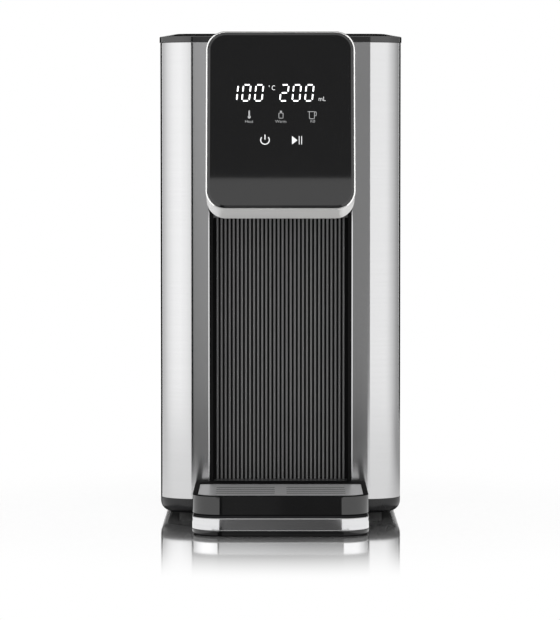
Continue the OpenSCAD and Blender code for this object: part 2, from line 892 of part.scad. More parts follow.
module tank_handle() {
    half = tank_w / 2 - tank_wall - fit;
    color("#242527") {
        translate([0, tank_mid, handle_z])
            rotate([90, 0, 90])
                linear_extrude(2 * half, center = true) round_plan(16, handle_h, 4);
        for (s = [-1, 1])
            translate([s * (half - 1.5) - 1.5, tank_mid - 14, handle_z - 9]) cube([3, 28, 14]);
    }
}

module tank_lid() {
    y0 = tank_y + lid_gap;
    half = tank_w / 2 - tank_wall - 1.4;
    color("#242527")
        difference() {
            union() {
                difference() {
                    intersection() {
                        top_form();
                        translate([-body_w, y0, panel_top - cut])
                            cube([2 * body_w, lid_pin_y - y0, cover_h + 2 * cut]);
                    }
                    translate([-half + 2, y0 + 6, panel_top - cut])
                        cube([2 * half - 4, lid_pin_y - y0 - 28, cover_h - 3 + cut]);
                }
                rod_x(-body_w / 2 + corner_r, body_w / 2 - corner_r, lid_pin_y, lid_pin_z, knuckle_r);
                difference() {
                    translate([-half, y0 + 4.4, tank_top - 7])
                        cube([2 * half, lid_pin_y - y0 - 24.4, 8 + panel_top - tank_top]);
                    translate([-half + 2, y0 + 6.4, tank_top - 8])
                        cube([2 * half - 4, lid_pin_y - y0 - 28.4, 10 + panel_top - tank_top]);
                }
            }
            for (s = [-1, 1])
                translate([s * ear_x - ear_w / 2 - slip, lid_pin_y - knuckle_r - 2 * slip, panel_top - 2 * cut])
                    cube([ear_w + 2 * slip, 4 * knuckle_r, cover_h + 4 * cut]);
            rod_x(-ear_x - ear_w, ear_x + ear_w, lid_pin_y, lid_pin_z, pin_r + run_fit);
        }
}

module lid_hinge_pin() {
    color("#b0b3b5") rod_x(-ear_x - ear_w + 1, ear_x + ear_w - 1, lid_pin_y, lid_pin_z, pin_r);
}

module valve_seat() {
    color("#dcdcd8")
        difference() {
            union() {
                rod_z(socket_x, tank_mid, valve_z, valve_top, valve_r);
                rod_z(socket_x, tank_mid, tank_in, valve_top, valve_flange);
            }
            rod_z(socket_x, tank_mid, seat_z, valve_top + cut, valve_bore);
            rod_z(socket_x, tank_mid, valve_z - cut, seat_z + cut, 4);
        }
}

module valve_poppet() {
    color("#b5462f") {
        rod_z(socket_x, tank_mid, prop_z + slip, poppet_z, 2);
        rod_z(socket_x, tank_mid, poppet_z, poppet_z + poppet_t, 6.5);
        rod_z(socket_x, tank_mid, poppet_z + poppet_t, filter_top + 2.5, guide_r);
    }
}

// Closed round wire wound on radius r, from z0 to z1
module coil(r, wire, z0, z1, turns) {
    n = turns * 10;
    sides = 6;
    pts = [for (i = [0:n], k = [0:sides - 1])
        let (a = 360 * i * turns / n, b = 360 * k / sides, q = r + wire * cos(b))
            [q * cos(a), q * sin(a), z0 + wire + (z1 - z0 - 2 * wire) * i / n + wire * sin(b)]];
    skin = [for (i = [0:n - 1], k = [0:sides - 1])
        let (m = (k + 1) % sides) [i * sides + k, (i + 1) * sides + k, (i + 1) * sides + m, i * sides + m]];
    ends = [[for (k = [0:sides - 1]) k], [for (k = [sides - 1:-1:0]) n * sides + k]];
    polyhedron(points = pts, faces = concat(skin, ends), convexity = 10);
}

module valve_spring() {
    color("#c4c6c8")
        translate([socket_x, tank_mid, 0])
            coil(spring_r, spring_wire, poppet_z + poppet_t + 0.1, filter_top - 2 - 0.1, 5);
}

module tank_filter() {
    color("#e6e6e2")
        difference() {
            rod_z(socket_x, tank_mid, valve_top, filter_top, filter_r);
            rod_z(socket_x, tank_mid, valve_top - cut, filter_top - 2, filter_r - filter_wall);
            rod_z(socket_x, tank_mid, filter_top - 3, filter_top + cut, guide_r + 0.15);
            translate([socket_x, tank_mid, valve_top + 1])
                for (a = [0:30:150])
                    rotate([0, 0, a]) translate([-filter_r - cut, -1.2, 0]) cube([2 * filter_r + 2 * cut, 2.4, 2.6]);
        }
}

module float_post() {
    top = tank_in + 2 + slip + float_h + float_rise + slip;
    color("#dcdcd8") {
        rod_z(float_x, tank_mid, tank_in - 1.5, top + 2, post_r);
        rod_z(float_x, tank_mid, tank_in, tank_in + 2, 6);
        rod_z(float_x, tank_mid, top, top + 2.5, 5);
    }
}

module level_float() {
    z0 = tank_in + 2 + slip;
    color("#e9e4d6")
        difference() {
            rod_z(float_x, tank_mid, z0, z0 + float_h, float_r);
            rod_z(float_x, tank_mid, z0 - cut, z0 + float_h + cut, post_r + slip);
        }
}

module tank_socket() {
    y1 = tank_mid - socket_r;
    color("#2f3032")
        difference() {
            union() {
                difference() {
                    rod_z(socket_x, tank_mid, floor_top, shelf_top - slip, socket_r);
                    rod_z(socket_x, tank_mid, socket_floor, shelf_top + cut, socket_cup);
                }
                rod_z(socket_x, tank_mid, socket_floor, prop_z, 2);
                rod_y(socket_x, y1 - spigot_l, y1 + 1, suction_z, spigot_r);
            }
            rod_y(socket_x, y1 - spigot_l - cut, y1 + 3, suction_z, spigot_bore);
        }
}

module socket_seal() {
    color("#7a2f28")
        difference() {
            rod_z(socket_x, tank_mid, valve_z + 1, shelf_top - slip, socket_cup - run_fit);
            rod_z(socket_x, tank_mid, valve_z, shelf_top + cut, valve_r + slip);
        }
}

module pump_cradle() {
    color("#1b1b1c")
        difference() {
            translate([volute_x0 - motor_l + 6, mid_y - 17, floor_top])
                cube([motor_l + volute_l - 8, 34, pump_z - floor_top - 8]);
            rod_x(volute_x0 - motor_l - 9, volute_x0, mid_y, pump_z, motor_r + fit);
            rod_x(volute_x0 - fit, volute_x1 + 9, mid_y, pump_z, volute_r + fit);
        }
}

module pump_motor() {
    x0 = volute_x0 - fit - motor_l;
    color("#8c9093")
        difference() {
            rod_x(x0, volute_x0 - fit, mid_y, pump_z, motor_r);
            rod_x(x0 + 2.4, volute_x0 - fit - 2.4, mid_y, pump_z, motor_r - 1.6);
            rod_x(x0 + 1, volute_x0 + cut, mid_y, pump_z, shaft_r + run_fit);
        }
}

module pump_housing() {
    color("#3b3d40")
        difference() {
            union() {
                rod_x(volute_x0, volute_x1, mid_y, pump_z, volute_r);
                rod_z(pump_x, mid_y, pump_z + chamber_r, pump_top + spigot_l, spigot_r);
                rod_z(pump_x, mid_y, pump_z + chamber_r, pump_top, 5);
            }
            rod_x(volute_x1 - chamber_l, volute_x1 + cut, mid_y, pump_z, chamber_r);
            rod_x(volute_x0 - cut, volute_x1, mid_y, pump_z, shaft_r + run_fit);
            rod_z(pump_x, mid_y, pump_z + chamber_r - 3, pump_top + spigot_l + cut, spigot_bore);
        }
}

module pump_cover() {
    color("#3b3d40")
        difference() {
            union() {
                rod_x(volute_x1, volute_x1 + 3.6, mid_y, pump_z, volute_r);
                rod_x(volute_x1 + 3, volute_x1 + 3.6 + spigot_l, mid_y, pump_z, spigot_r);
            }
            rod_x(volute_x1 - cut, volute_x1 + 4.6 + spigot_l, mid_y, pump_z, spigot_bore);
        }
}

module pump_rotor() {
    x0 = volute_x0 - fit - motor_l;
    disc_x = volute_x1 - chamber_l + 1;
    color("#c4c6c8") {
        rod_x(x0 + 1.4, disc_x + 8, mid_y, pump_z, shaft_r);
        rod_x(x0 + 6, volute_x0 - 7, mid_y, pump_z, motor_r - 5);
        rod_x(disc_x, disc_x + 2, mid_y, pump_z, chamber_r - 1);
        for (a = [0:60:300])
            translate([disc_x + 1, mid_y, pump_z])
                rotate([a, 0, 0]) translate([0, -0.8, shaft_r - 0.4]) cube([8, 1.6, chamber_r - shaft_r - 1.6]);
    }
}

module suction_hose() {
    color("#d9dcdc")
        hose([[socket_x, tank_mid - socket_r - fit, suction_z], [socket_x, mid_y, suction_z],
            [socket_x, mid_y, pump_z], [volute_x1 + 3.6 + fit, mid_y, pump_z]]);
}

module pump_hose() {
    color("#d9dcdc") hose([[pump_x, mid_y, pump_top + fit], [pump_x, mid_y, meter_z - meter_r - fit]]);
}

module flow_meter_body() {
    color("#2f3032")
        difference() {
            union() {
                difference() {
                    union() {
                        rod_y(pump_x, meter_y0, meter_y0 + meter_t, meter_z, meter_r);
                        rod_z(pump_x, mid_y, meter_z - meter_r - spigot_l, meter_z - meter_r + 2, spigot_r);
                        rod_z(pump_x, mid_y, meter_top - 2, meter_top + spigot_l, spigot_r);
                    }
                    rod_y(pump_x, meter_y0 + meter_wall, meter_y0 + meter_t + cut, meter_z, meter_r - meter_wall);
                }
                rod_y(pump_x, meter_y0 + meter_wall - 1, meter_y0 + meter_t - 0.5, meter_z, meter_pin);
            }
            rod_z(pump_x, mid_y, meter_z - meter_r - spigot_l - cut, meter_z - meter_r + 3, spigot_bore);
            rod_z(pump_x, mid_y, meter_top - 3, meter_top + spigot_l + cut, spigot_bore);
        }
}

module flow_meter_cap() {
    color("#c9cfd2") rod_y(pump_x, meter_y0 + meter_t, meter_y0 + meter_t + 2.5, meter_z, meter_r);
}

module flow_meter_rotor() {
    y0 = meter_y0 + meter_wall + 0.6;
    y1 = meter_y0 + meter_t - 1.2;
    color("#e8e8e4")
        difference() {
            union() {
                rod_y(pump_x, y0, y1, meter_z, 3.4);
                for (a = [0:60:300])
                    translate([pump_x, y0, meter_z])
                        rotate([0, a, 0]) translate([-0.6, 0, 2]) cube([1.2, y1 - y0, meter_r - meter_wall - 3.2]);
            }
            rod_y(pump_x, y0 - cut, y1 + cut, meter_z, meter_pin + run_fit);
        }
}

module heater_hose() {
    color("#d9dcdc")
        hose([[pump_x, mid_y, meter_top + fit], [pump_x, mid_y, tube_z0 - fit]]);
}

module heater_block() {
    color("#b4b7b9")
        difference() {
            translate([(block_x0 + block_x1) / 2, mid_y, block_z0])
                linear_extrude(heater_l) round_plan(block_x1 - block_x0, block_d, 6);
            rod_z(pump_x, mid_y, block_z0 - cut, block_z1 + cut, tube_r + run_fit);
            rod_z(element_x, mid_y, block_z0 - cut, block_z1 + cut, rod_r + run_fit);
        }
}

module heater_tube() {
    color("#c9cbcd")
        difference() {
            union() {
                rod_z(pump_x, mid_y, tube_z0, tube_z1, tube_r);
                rod_z(pump_x, mid_y, tube_z0 - spigot_l, tube_z1 + spigot_l, spigot_r);
            }
            rod_z(pump_x, mid_y, tube_z0 + 2, tube_z1 - 2, tube_r - 1.4);
            rod_z(pump_x, mid_y, tube_z0 - spigot_l - cut, tube_z1 + spigot_l + cut, spigot_bore);
        }
}

module heating_element() {
    color("#7d8083") {
        rod_z(element_x, mid_y, tube_z0, tube_z1, rod_r);
        rod_z(element_x, mid_y, tube_z0 - 10, tube_z1 + 10, 1.5);
    }
}

module heater_bracket() {
    plate_y = mid_y - block_d / 2 - 2;
    color("#b7babc") {
        translate([block_x0, plate_y, block_z0 + 6]) cube([block_x1 - block_x0, 2, heater_l - 12]);
        for (z = [block_z0 + 6, block_z1 - 8])
            translate([block_x0, in_y0, z]) cube([block_x1 - block_x0, plate_y - in_y0 + 1, 2]);
        translate([block_x0, in_y0, block_z0 + 6]) cube([block_x1 - block_x0, 2, 16]);
        translate([block_x0, in_y0, block_z1 - 22]) cube([block_x1 - block_x0, 2, 16]);
    }
}

module thermal_cutouts() {
    y0 = mid_y + block_d / 2;
    color("#d8d4c8")
        for (z = [block_z0 + 30, block_z1 - 30]) {
            rod_y(11, y0, y0 + 5, z, 8);
            rod_y(11, y0 + 5, y0 + 8, z, 5);
        }
}

module temperature_sensor() {
    color("#1b1b1c") rod_z(pump_x, mid_y + tube_r + 2.5 + fit, block_z1, block_z1 + 9, 2.5);
}

module outlet_hose() {
    color("#d9dcdc")
        hose([[pump_x, mid_y, tube_z1 + fit], [pump_x, mid_y, outlet_turn], [0, spout_y, outlet_turn],
            [0, spout_y, manifold_z + manifold_h + fit]]);
}

module power_board() {
    color("#1f5a3a")
        translate([power_x, power_y0, power_z0]) cube([board_t, power_y1 - power_y0, power_z1 - power_z0]);
}

module power_components() {
    x0 = power_x + board_t;
    y0 = power_y0 + 6;
    color("#3d4246") {
        translate([x0, y0, power_z0 + 12]) cube([16, 20, 29]);
        translate([x0, y0 + 30, power_z0 + 12]) cube([24, 28, 32]);
        translate([x0, y0, power_z0 + 56]) cube([14, 10, 40]);
        rod_x(x0, x0 + 22, y0 + 46, power_z0 + 68, 8);
        rod_x(x0, x0 + 18, y0 + 26, power_z0 + 68, 6);
        translate([x0, y0 + 24, power_z0 + 90]) cube([5, 22, 22]);
        translate([x0, mid_y - 10, power_z1 - 24]) cube([12, 20, 12]);
    }
}

module display_cable() {
    plug_x = power_x + board_t + 6;
    face_z = (cable_z - head_z + (board_y + board_t) * sin(head_tilt)) / cos(head_tilt);
    start_y = face_y - head_reach + (board_y + board_t) * cos(head_tilt) + face_z * sin(head_tilt) + 1;
    color("#4a4d50")
        run([[cable_x, start_y, cable_z], [cable_x, mid_y, cable_z], [plug_x, mid_y, cable_z],
            [plug_x, mid_y, power_z1 - 12 + fit]], cable_r, 6);
}

module level_sensor() {
    color("#2a3b55") translate([float_x - 10, in_y1 - 6, tank_in + 10]) cube([20, 6, 16]);
}

base();
base_trim();
tray_deck();
rubber_feet();
base_screws();
left_panel();
right_panel();
chassis();
bay_liner();
rear_cover();
rear_cover_screws();
top_cover();
tank_shelf();
cord_gland();
drip_tray();
drip_grille();
head_ring();
control_glass();
display_board();
display_module();
touch_pads();
head_shell();
head_screws();
spout_nozzle();
outlet_manifold();
tank();
tank_handle();
tank_lid();
lid_hinge_pin();
valve_seat();
valve_poppet();
valve_spring();
tank_filter();
float_post();
level_float();
tank_socket();
socket_seal();
pump_cradle();
pump_motor();
pump_housing();
pump_cover();
pump_rotor();
suction_hose();
pump_hose();
flow_meter_body();
flow_meter_cap();
flow_meter_rotor();
heater_hose();
heater_block();
heater_tube();
heating_element();
heater_bracket();
thermal_cutouts();
temperature_sensor();
outlet_hose();
power_board();
power_components();
display_cable();
level_sensor();
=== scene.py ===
"""Hot water dispenser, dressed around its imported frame.

Metres, +Z up, the user stands on the -Y side. Pieces follow in the order they are put together.
"""
import json
import math

import bmesh
import bpy
from mathutils import Matrix, Vector


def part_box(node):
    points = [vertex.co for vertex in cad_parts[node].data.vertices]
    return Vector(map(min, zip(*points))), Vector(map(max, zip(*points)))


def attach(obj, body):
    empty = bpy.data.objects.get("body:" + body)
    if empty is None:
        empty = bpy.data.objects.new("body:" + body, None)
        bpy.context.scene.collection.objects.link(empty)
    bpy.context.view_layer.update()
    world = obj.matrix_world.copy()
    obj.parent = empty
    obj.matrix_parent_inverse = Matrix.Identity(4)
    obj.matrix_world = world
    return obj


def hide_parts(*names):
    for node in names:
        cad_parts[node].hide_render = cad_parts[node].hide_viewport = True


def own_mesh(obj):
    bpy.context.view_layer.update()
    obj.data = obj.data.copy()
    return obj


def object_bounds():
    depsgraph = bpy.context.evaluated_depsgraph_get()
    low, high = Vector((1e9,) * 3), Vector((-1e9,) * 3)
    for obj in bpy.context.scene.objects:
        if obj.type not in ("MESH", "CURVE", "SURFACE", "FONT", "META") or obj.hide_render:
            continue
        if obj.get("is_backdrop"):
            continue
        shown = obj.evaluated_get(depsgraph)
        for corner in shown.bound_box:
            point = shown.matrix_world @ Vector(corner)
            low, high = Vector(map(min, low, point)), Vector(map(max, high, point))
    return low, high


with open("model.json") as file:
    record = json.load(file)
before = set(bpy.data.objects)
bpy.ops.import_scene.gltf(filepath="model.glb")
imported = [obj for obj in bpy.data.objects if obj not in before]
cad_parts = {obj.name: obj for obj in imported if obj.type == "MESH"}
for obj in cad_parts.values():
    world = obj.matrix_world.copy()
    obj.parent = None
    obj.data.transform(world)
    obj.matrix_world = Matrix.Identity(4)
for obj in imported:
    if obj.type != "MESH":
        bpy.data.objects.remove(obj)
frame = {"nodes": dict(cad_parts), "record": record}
cad_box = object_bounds()

# Camera
# A long lens stands square to the front, a little above the middle of the object.
# It looks slightly down, so the tray's rim and the tilted glass both show.
camera_place = Vector((-0.0004, -2.447, 0.277))
camera_pitch = math.radians(2.87)
camera_data = bpy.data.cameras.new("front_view")
camera_data.lens = 187.7
camera_data.sensor_width = 36.0
camera = bpy.data.objects.new("front_view", camera_data)
camera.location = camera_place
camera.rotation_euler = (math.pi / 2 - camera_pitch, 0, 0)
bpy.context.scene.collection.objects.link(camera)
bpy.context.scene.camera = camera
bpy.context.scene.view_settings.view_transform = "Standard"

# World
# A white studio: the background is plain white to the eye, to gloss and to glass,
# and weaker as a light, so that colours render about as they are written.
fill_strength = 0.55
world = bpy.data.worlds.new("white_studio")
bpy.context.scene.world = world
world.use_nodes = True


def add_node(tree, kind, values=None, **settings):
    """A new shader node, with its settings made and some of its inputs given a value."""
    node = tree.nodes.new("ShaderNode" + kind)
    for name, setting in settings.items():
        setattr(node, name, setting)
    for name, value in (values or {}).items():
        node.inputs[name].default_value = value
    return node


def link(tree, *pairs):
    """Links outputs to inputs, pair by pair."""
    for given, taken in pairs:
        tree.links.new(given, taken)


def seen_directly(tree):
    """A mask that is 1 for rays from the eye, off gloss and through glass, and 0 for soft light."""
    path = add_node(tree, "LightPath")
    mask = path.outputs["Is Camera Ray"]
    for ray in ("Is Glossy Ray", "Is Transmission Ray"):
        wider = add_node(tree, "Math", operation="MAXIMUM")
        link(tree, (mask, wider.inputs[0]), (path.outputs[ray], wider.inputs[1]))
        mask = wider.outputs[0]
    return mask


sky = world.node_tree.nodes["Background"]
sky.inputs["Color"].default_value = (1, 1, 1, 1)
sky_level = add_node(world.node_tree, "MapRange", {"To Min": fill_strength, "To Max": 1.0})
link(
    world.node_tree,
    (seen_directly(world.node_tree), sky_level.inputs["Value"]),
    (sky_level.outputs["Result"], sky.inputs["Strength"]),
)

# Floor
# A white sheet whose gloss shows the object's foot and keeps its shadow; further out it is plain white.
# In the object's gloss it is a dim mirror under the housing, at the foot, ahead and in a middle lane.
# The lane has a dark line at its left, and widens forwards, so that its edges look upright in the tray.
floor_radius = 0.95
floor_roughness = 0.06
floor_colour = (0.95, 0.95, 0.95, 1)
gloss_near = 0.15
gloss_far = 0.385
lane_half = 0.0450
lane_shade = 0.26
lane_from_y = 0.152
lane_eye = 2.25
line_x = -0.0434
line_half = 0.0016
ahead_y = -0.30
ahead_x = 0.062
ahead_spread = (0.165, 0.045)
ahead_ray = 0.28
under_y = -0.055
under_x = 0.100
under_spread = (0.75, 0.0)
foot_y = -0.186
foot_x = 0.068
back_start = -0.10
back_end = 0.25
back_loss = 0.25
back_loss_right = 0.40
shadow_share = 0.06
shadow_share_steep = 0.45
steep_facing = 0.70
low_facing = 0.87


def blank_material(name):
    """A material with an empty node tree, and that tree."""
    material = bpy.data.materials.new(name)
    material.use_nodes = True
    material.node_tree.nodes.clear()
    return material, material.node_tree


def stand_in_studio(name, form, material, seen=False):
    """Puts the floor, a screen or a card in the studio, in or out of the camera's own sight."""
    mesh = bpy.data.meshes.new(name)
    form.to_mesh(mesh)
    form.free()
    mesh.materials.append(material)
    stand = bpy.data.objects.new(name, mesh)
    bpy.context.scene.collection.objects.link(stand)
    stand.visible_camera = seen
    stand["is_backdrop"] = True
    return stand


floor_finish, floor_tree = blank_material("floor_white")
floor_spot = add_node(floor_tree, "TexCoord")
floor_path = add_node(floor_tree, "LightPath")
floor_reach = add_node(floor_tree, "VectorMath", operation="LENGTH")
floor_fade = add_node(
    floor_tree, "MapRange", {"From Min": gloss_near, "From Max": gloss_far}, interpolation_type="SMOOTHSTEP"
)
floor_split = add_node(floor_tree, "SeparateXYZ")


def floor_feed(taken, given):
    """Gives an input of the floor's nodes a plain value or the output of another node."""
    if isinstance(given, float):
        taken.default_value = given
    else:
        floor_tree.links.new(given, taken)


def floor_step(operation, given, limit):
    """One sum or comparison on the floor's own coordinates."""
    step = add_node(floor_tree, "Math", operation=operation)
    floor_feed(step.inputs[0], given)
    floor_feed(step.inputs[1], limit)
    return step.outputs[0]


def floor_mixed(share, first, second):
    """Two finishes of the floor, mixed by the share of the second."""
    mix = add_node(floor_tree, "MixShader")
    for taken, given in zip(mix.inputs, (share, first, second)):
        floor_feed(taken, given)
    return mix.outputs[0]


floor_x = floor_split.outputs["X"]
floor_aside = floor_step("ABSOLUTE", floor_x, 0.0)
floor_left = floor_step("LESS_THAN", floor_x, 0.0)
floor_y = floor_split.outputs["Y"]
floor_away = floor_step("SUBTRACT", floor_step("MULTIPLY", floor_y, -1.0), lane_from_y)
floor_away = floor_step("DIVIDE", floor_step("MAXIMUM", floor_away, 0.0), lane_eye)
floor_seen_x = floor_step("DIVIDE", floor_x, floor_step("ADD", floor_away, 1.0))
floor_seen_aside = floor_step("ABSOLUTE", floor_seen_x, 0.0)


def floor_wedge(start_x, spread, way):
    """A field that widens backwards or forwards, by its own spread on the left and on the right."""
    along = floor_step("MAXIMUM", floor_step("MULTIPLY", floor_y, way), 0.0)
    widen = floor_step("ADD", floor_step("MULTIPLY", floor_left, spread[0] - spread[1]), spread[1])
    limit = floor_step("ADD", floor_step("MULTIPLY", along, widen), start_x)
    return floor_step("LESS_THAN", floor_aside, limit)


floor_behind = floor_step("GREATER_THAN", floor_y, under_y)
floor_under = floor_step("MULTIPLY", floor_behind, floor_wedge(under_x, under_spread, 1.0))
floor_near_foot = floor_step("GREATER_THAN", floor_y, foot_y)
floor_foot = floor_step("MULTIPLY", floor_near_foot, floor_step("LESS_THAN", floor_aside, foot_x))
floor_front = floor_step("LESS_THAN", floor_y, ahead_y)
floor_come_far = floor_step("GREATER_THAN", floor_path.outputs["Ray Length"], ahead_ray)
floor_ahead = floor_step("MULTIPLY", floor_front, floor_wedge(ahead_x, ahead_spread, -1.0))
floor_ahead = floor_step("MULTIPLY", floor_ahead, floor_come_far)
floor_shut = floor_step("MAXIMUM", floor_step("MAXIMUM", floor_under, floor_foot), floor_ahead)
floor_open = floor_step("LESS_THAN", floor_shut, 0.5)
floor_white = floor_step("MULTIPLY", floor_open, floor_step("GREATER_THAN", floor_seen_aside, lane_half))
floor_back = add_node(floor_tree, "MapRange", {"From Min": back_start, "From Max": back_end})
floor_tree.links.new(floor_y, floor_back.inputs["Value"])
floor_right = floor_step("MULTIPLY", floor_step("GREATER_THAN", floor_x, 0.0), back_loss_right)
floor_loss = floor_step("MULTIPLY", floor_back.outputs["Result"], floor_step("ADD", floor_right, back_loss))
floor_lane = floor_step("SUBTRACT", floor_white, floor_step("MULTIPLY", floor_white, floor_loss))
floor_line = floor_step("ABSOLUTE", floor_step("SUBTRACT", floor_seen_x, line_x), 0.0)
floor_dim = floor_step("MULTIPLY", floor_step("GREATER_THAN", floor_line, line_half), lane_shade)
floor_eye = floor_path.outputs["Is Camera Ray"]
floor_facing = add_node(floor_tree, "LayerWeight")
floor_low = add_node(floor_tree, "MapRange", {"From Min": steep_facing, "From Max": low_facing})
floor_share = floor_step("MAXIMUM", floor_low.outputs["Result"], floor_step("LESS_THAN", floor_eye, 0.5))
floor_white_share = add_node(floor_tree, "Mix")
floor_tint = add_node(floor_tree, "Mix", {"B": 1.0})
floor_gloss = add_node(floor_tree, "BsdfGlossy", {"Roughness": floor_roughness})
floor_sheet = add_node(floor_tree, "BsdfDiffuse", {"Color": floor_colour}).outputs[0]
floor_plain = add_node(floor_tree, "Emission").outputs[0]
floor_shadow = floor_step("MULTIPLY", floor_eye, shadow_share)
floor_mirror = floor_mixed(floor_shadow, floor_gloss.outputs[0], floor_sheet)
floor_steep = floor_mixed(shadow_share_steep, floor_plain, floor_sheet)
floor_near = floor_mixed(floor_share, floor_steep, floor_mirror)
floor_far = floor_mixed(seen_directly(floor_tree), floor_sheet, floor_plain)
floor_mix = floor_mixed(floor_white_share.outputs["Result"], floor_near, floor_far)
floor_end = add_node(floor_tree, "OutputMaterial")
link(
    floor_tree,
    (floor_spot.outputs["Object"], floor_reach.inputs[0]),
    (floor_spot.outputs["Object"], floor_split.inputs[0]),
    (floor_reach.outputs["Value"], floor_fade.inputs["Value"]),
    (floor_eye, floor_white_share.inputs["Factor"]),
    (floor_lane, floor_white_share.inputs["A"]),
    (floor_fade.outputs["Result"], floor_white_share.inputs["B"]),
    (floor_eye, floor_tint.inputs["Factor"]),
    (floor_dim, floor_tint.inputs["A"]),
    (floor_tint.outputs["Result"], floor_gloss.inputs["Color"]),
    (floor_facing.outputs["Facing"], floor_low.inputs["Value"]),
    (floor_mix, floor_end.inputs["Surface"]),
)
form = bmesh.new()
bmesh.ops.create_circle(form, cap_ends=True, segments=96, radius=floor_radius)
stand_in_studio("floor", form, floor_finish, seen=True)

# Soft boxes at the sides
# Two tall curved white screens stand round the object, one on each side, brightest abreast of it.
# They light the rounded steel corners and draw the bright bands down them.
screen_radius = 2.2
screen_low = -0.4
screen_high = 1.5
screen_steps = 48
left_stops = (
    (0.0, 1.08), (0.05, 1.27), (0.16, 1.40), (0.34, 1.34),
    (0.45, 1.24), (0.59, 1.08), (0.73, 0.83), (0.81, 0.70),
)
right_stops = (
    (0.0, 1.25), (0.26, 1.25), (0.34, 1.20), (0.46, 1.00), (0.60, 0.78), (0.74, 0.54), (0.81, 0.42)
)
screens = (
    ("left_screen", -1, 10.2, 125.8, left_stops),
    ("right_screen", 1, 11.2, 124.8, right_stops),
)


def graded_light(name, axis, low, high, stops):
    """An emission graded along one axis, for a screen or card of the studio."""
    material, tree = blank_material(name)
    spot = add_node(tree, "TexCoord")
    split = add_node(tree, "SeparateXYZ")
    along = add_node(tree, "MapRange", {"From Min": low, "From Max": high})
    ramp = add_node(tree, "ValToRGB")
    marks = ramp.color_ramp.elements
    marks[0].position = stops[0][0]
    marks[1].position = stops[-1][0]
    for place, strength in stops[1:-1]:
        marks.new(place)
    for mark, (place, strength) in zip(marks, stops):
        mark.color = (strength, strength, strength, 1)
    glow = add_node(tree, "Emission")
    end = add_node(tree, "OutputMaterial")
    link(
        tree,
        (spot.outputs["Object"], split.inputs[0]),
        (split.outputs[axis], along.inputs["Value"]),
        (along.outputs["Result"], ramp.inputs["Fac"]),
        (ramp.outputs["Color"], glow.inputs["Color"]),
        (glow.outputs[0], end.inputs["Surface"]),
    )
    return material


def swept_strip(first, second, axis, start, sweep, steps):
    """A strip that the line between two points sweeps round an axis, from a start angle on."""
    form = bmesh.new()
    ends = [form.verts.new(first), form.verts.new(second)]
    line = form.edges.new(ends)
    bmesh.ops.rotate(form, verts=ends, matrix=Matrix.Rotation(start, 3, axis))
    bmesh.ops.spin(form, geom=ends + [line], axis=axis, angle=sweep, steps=steps, use_merge=False)
    return form


for name, side, start, sweep, stops in screens:
    foot = (0, -screen_radius, screen_low)
    top = (0, -screen_radius, screen_high)
    start = math.radians(start * side)
    sweep = math.radians(sweep * side)
    form = swept_strip(foot, top, Vector((0, 0, 1)), start, sweep, screen_steps)
    glow = graded_light(name + "_glow", "Y", -screen_radius, screen_radius, stops)
    stand_in_studio(name, form, glow)

# Cards in front and behind
# A grey card behind the camera gives the flat steel its grey, and a dark strip beside it draws the left edge.
# A dim card overhead keeps the glass black above its soft line, and dark flags behind edge the corners.
# A low light in front, which gloss does not show, lights the tray and the bay.
card_y = -2.9
card_low = -1.2
card_high = 0.85
card_middle_x = 0.0
card_left_x = -0.185
card_right_x = 0.57
strip_left_x = -0.52
card_stops = ((0.40, 0.22), (0.52, 0.30), (0.63, 0.40), (0.80, 0.52))
card_right_strength = 0.285
overhead_y = -1.75
overhead_half = 0.14
overhead_height = 0.3
overhead_strength = 0.15
flag_y = 1.05
flags = {
    "flag_left": (-0.95, -0.31, -0.5, 0.45),
    "flag_right": (0.31, 0.95, -0.5, 0.45),
    "flag_high": (-0.9, 0.9, 0.5, 0.95),
}
low_light_y = -1.0
low_light_half = 0.35
low_light_height = 0.12
low_light_strength = 34.0
glass_line = 0.0229
glass_tilt = math.radians(13)
glass_foot = Vector((0, -0.137, 0.23317))


def plain_light(name, strength):
    """An even emission, for a card."""
    material, tree = blank_material(name)
    glow = add_node(tree, "Emission", {"Color": (1, 1, 1, 1), "Strength": strength})
    end = add_node(tree, "OutputMaterial")
    tree.links.new(glow.outputs[0], end.inputs["Surface"])
    return material


def turn(form, degrees, axis):
    """Turns a form about an axis through the origin."""
    bmesh.ops.rotate(form, verts=form.verts, matrix=Matrix.Rotation(math.radians(degrees), 3, axis))


def shift(form, x, y, z):
    """Moves a form as a whole."""
    bmesh.ops.translate(form, verts=form.verts, vec=(x, y, z))


def upright_card(x0, x1, z0, z1, y):
    """A flat card that stands across the view."""
    form = bmesh.new()
    bmesh.ops.create_grid(form, x_segments=1, y_segments=1, size=0.5)
    bmesh.ops.scale(form, verts=form.verts, vec=(x1 - x0, z1 - z0, 1))
    turn(form, 90, "X")
    shift(form, (x0 + x1) / 2, y, (z0 + z1) / 2)
    return form


glass_normal = Vector((0, -math.cos(glass_tilt), math.sin(glass_tilt)))
glass_spot = glass_foot + glass_line * Vector((0, math.sin(glass_tilt), math.cos(glass_tilt)))
sight = (glass_spot - camera_place).normalized()
bounce = sight - 2 * sight.dot(glass_normal) * glass_normal
overhead_z = glass_spot.z + bounce.z * (overhead_y - glass_spot.y) / bounce.y
card_dark = plain_light("card_dark", 0.0)
card_left = graded_light("card_left", "Z", card_low, card_high, card_stops)
card_right = plain_light("card_right", card_right_strength)
front_cards = {
    "front_card_left": (card_left_x, card_middle_x, card_left),
    "front_card_right": (card_middle_x, card_right_x, card_right),
    "edge_strip": (strip_left_x, card_left_x, card_dark),
}
for name, (x0, x1, glow) in front_cards.items():
    stand_in_studio(name, upright_card(x0, x1, card_low, card_high, card_y), glow)
form = upright_card(-overhead_half, overhead_half, overhead_z, overhead_z + overhead_height, overhead_y)
stand_in_studio("overhead_card", form, plain_light("card_dim", overhead_strength))
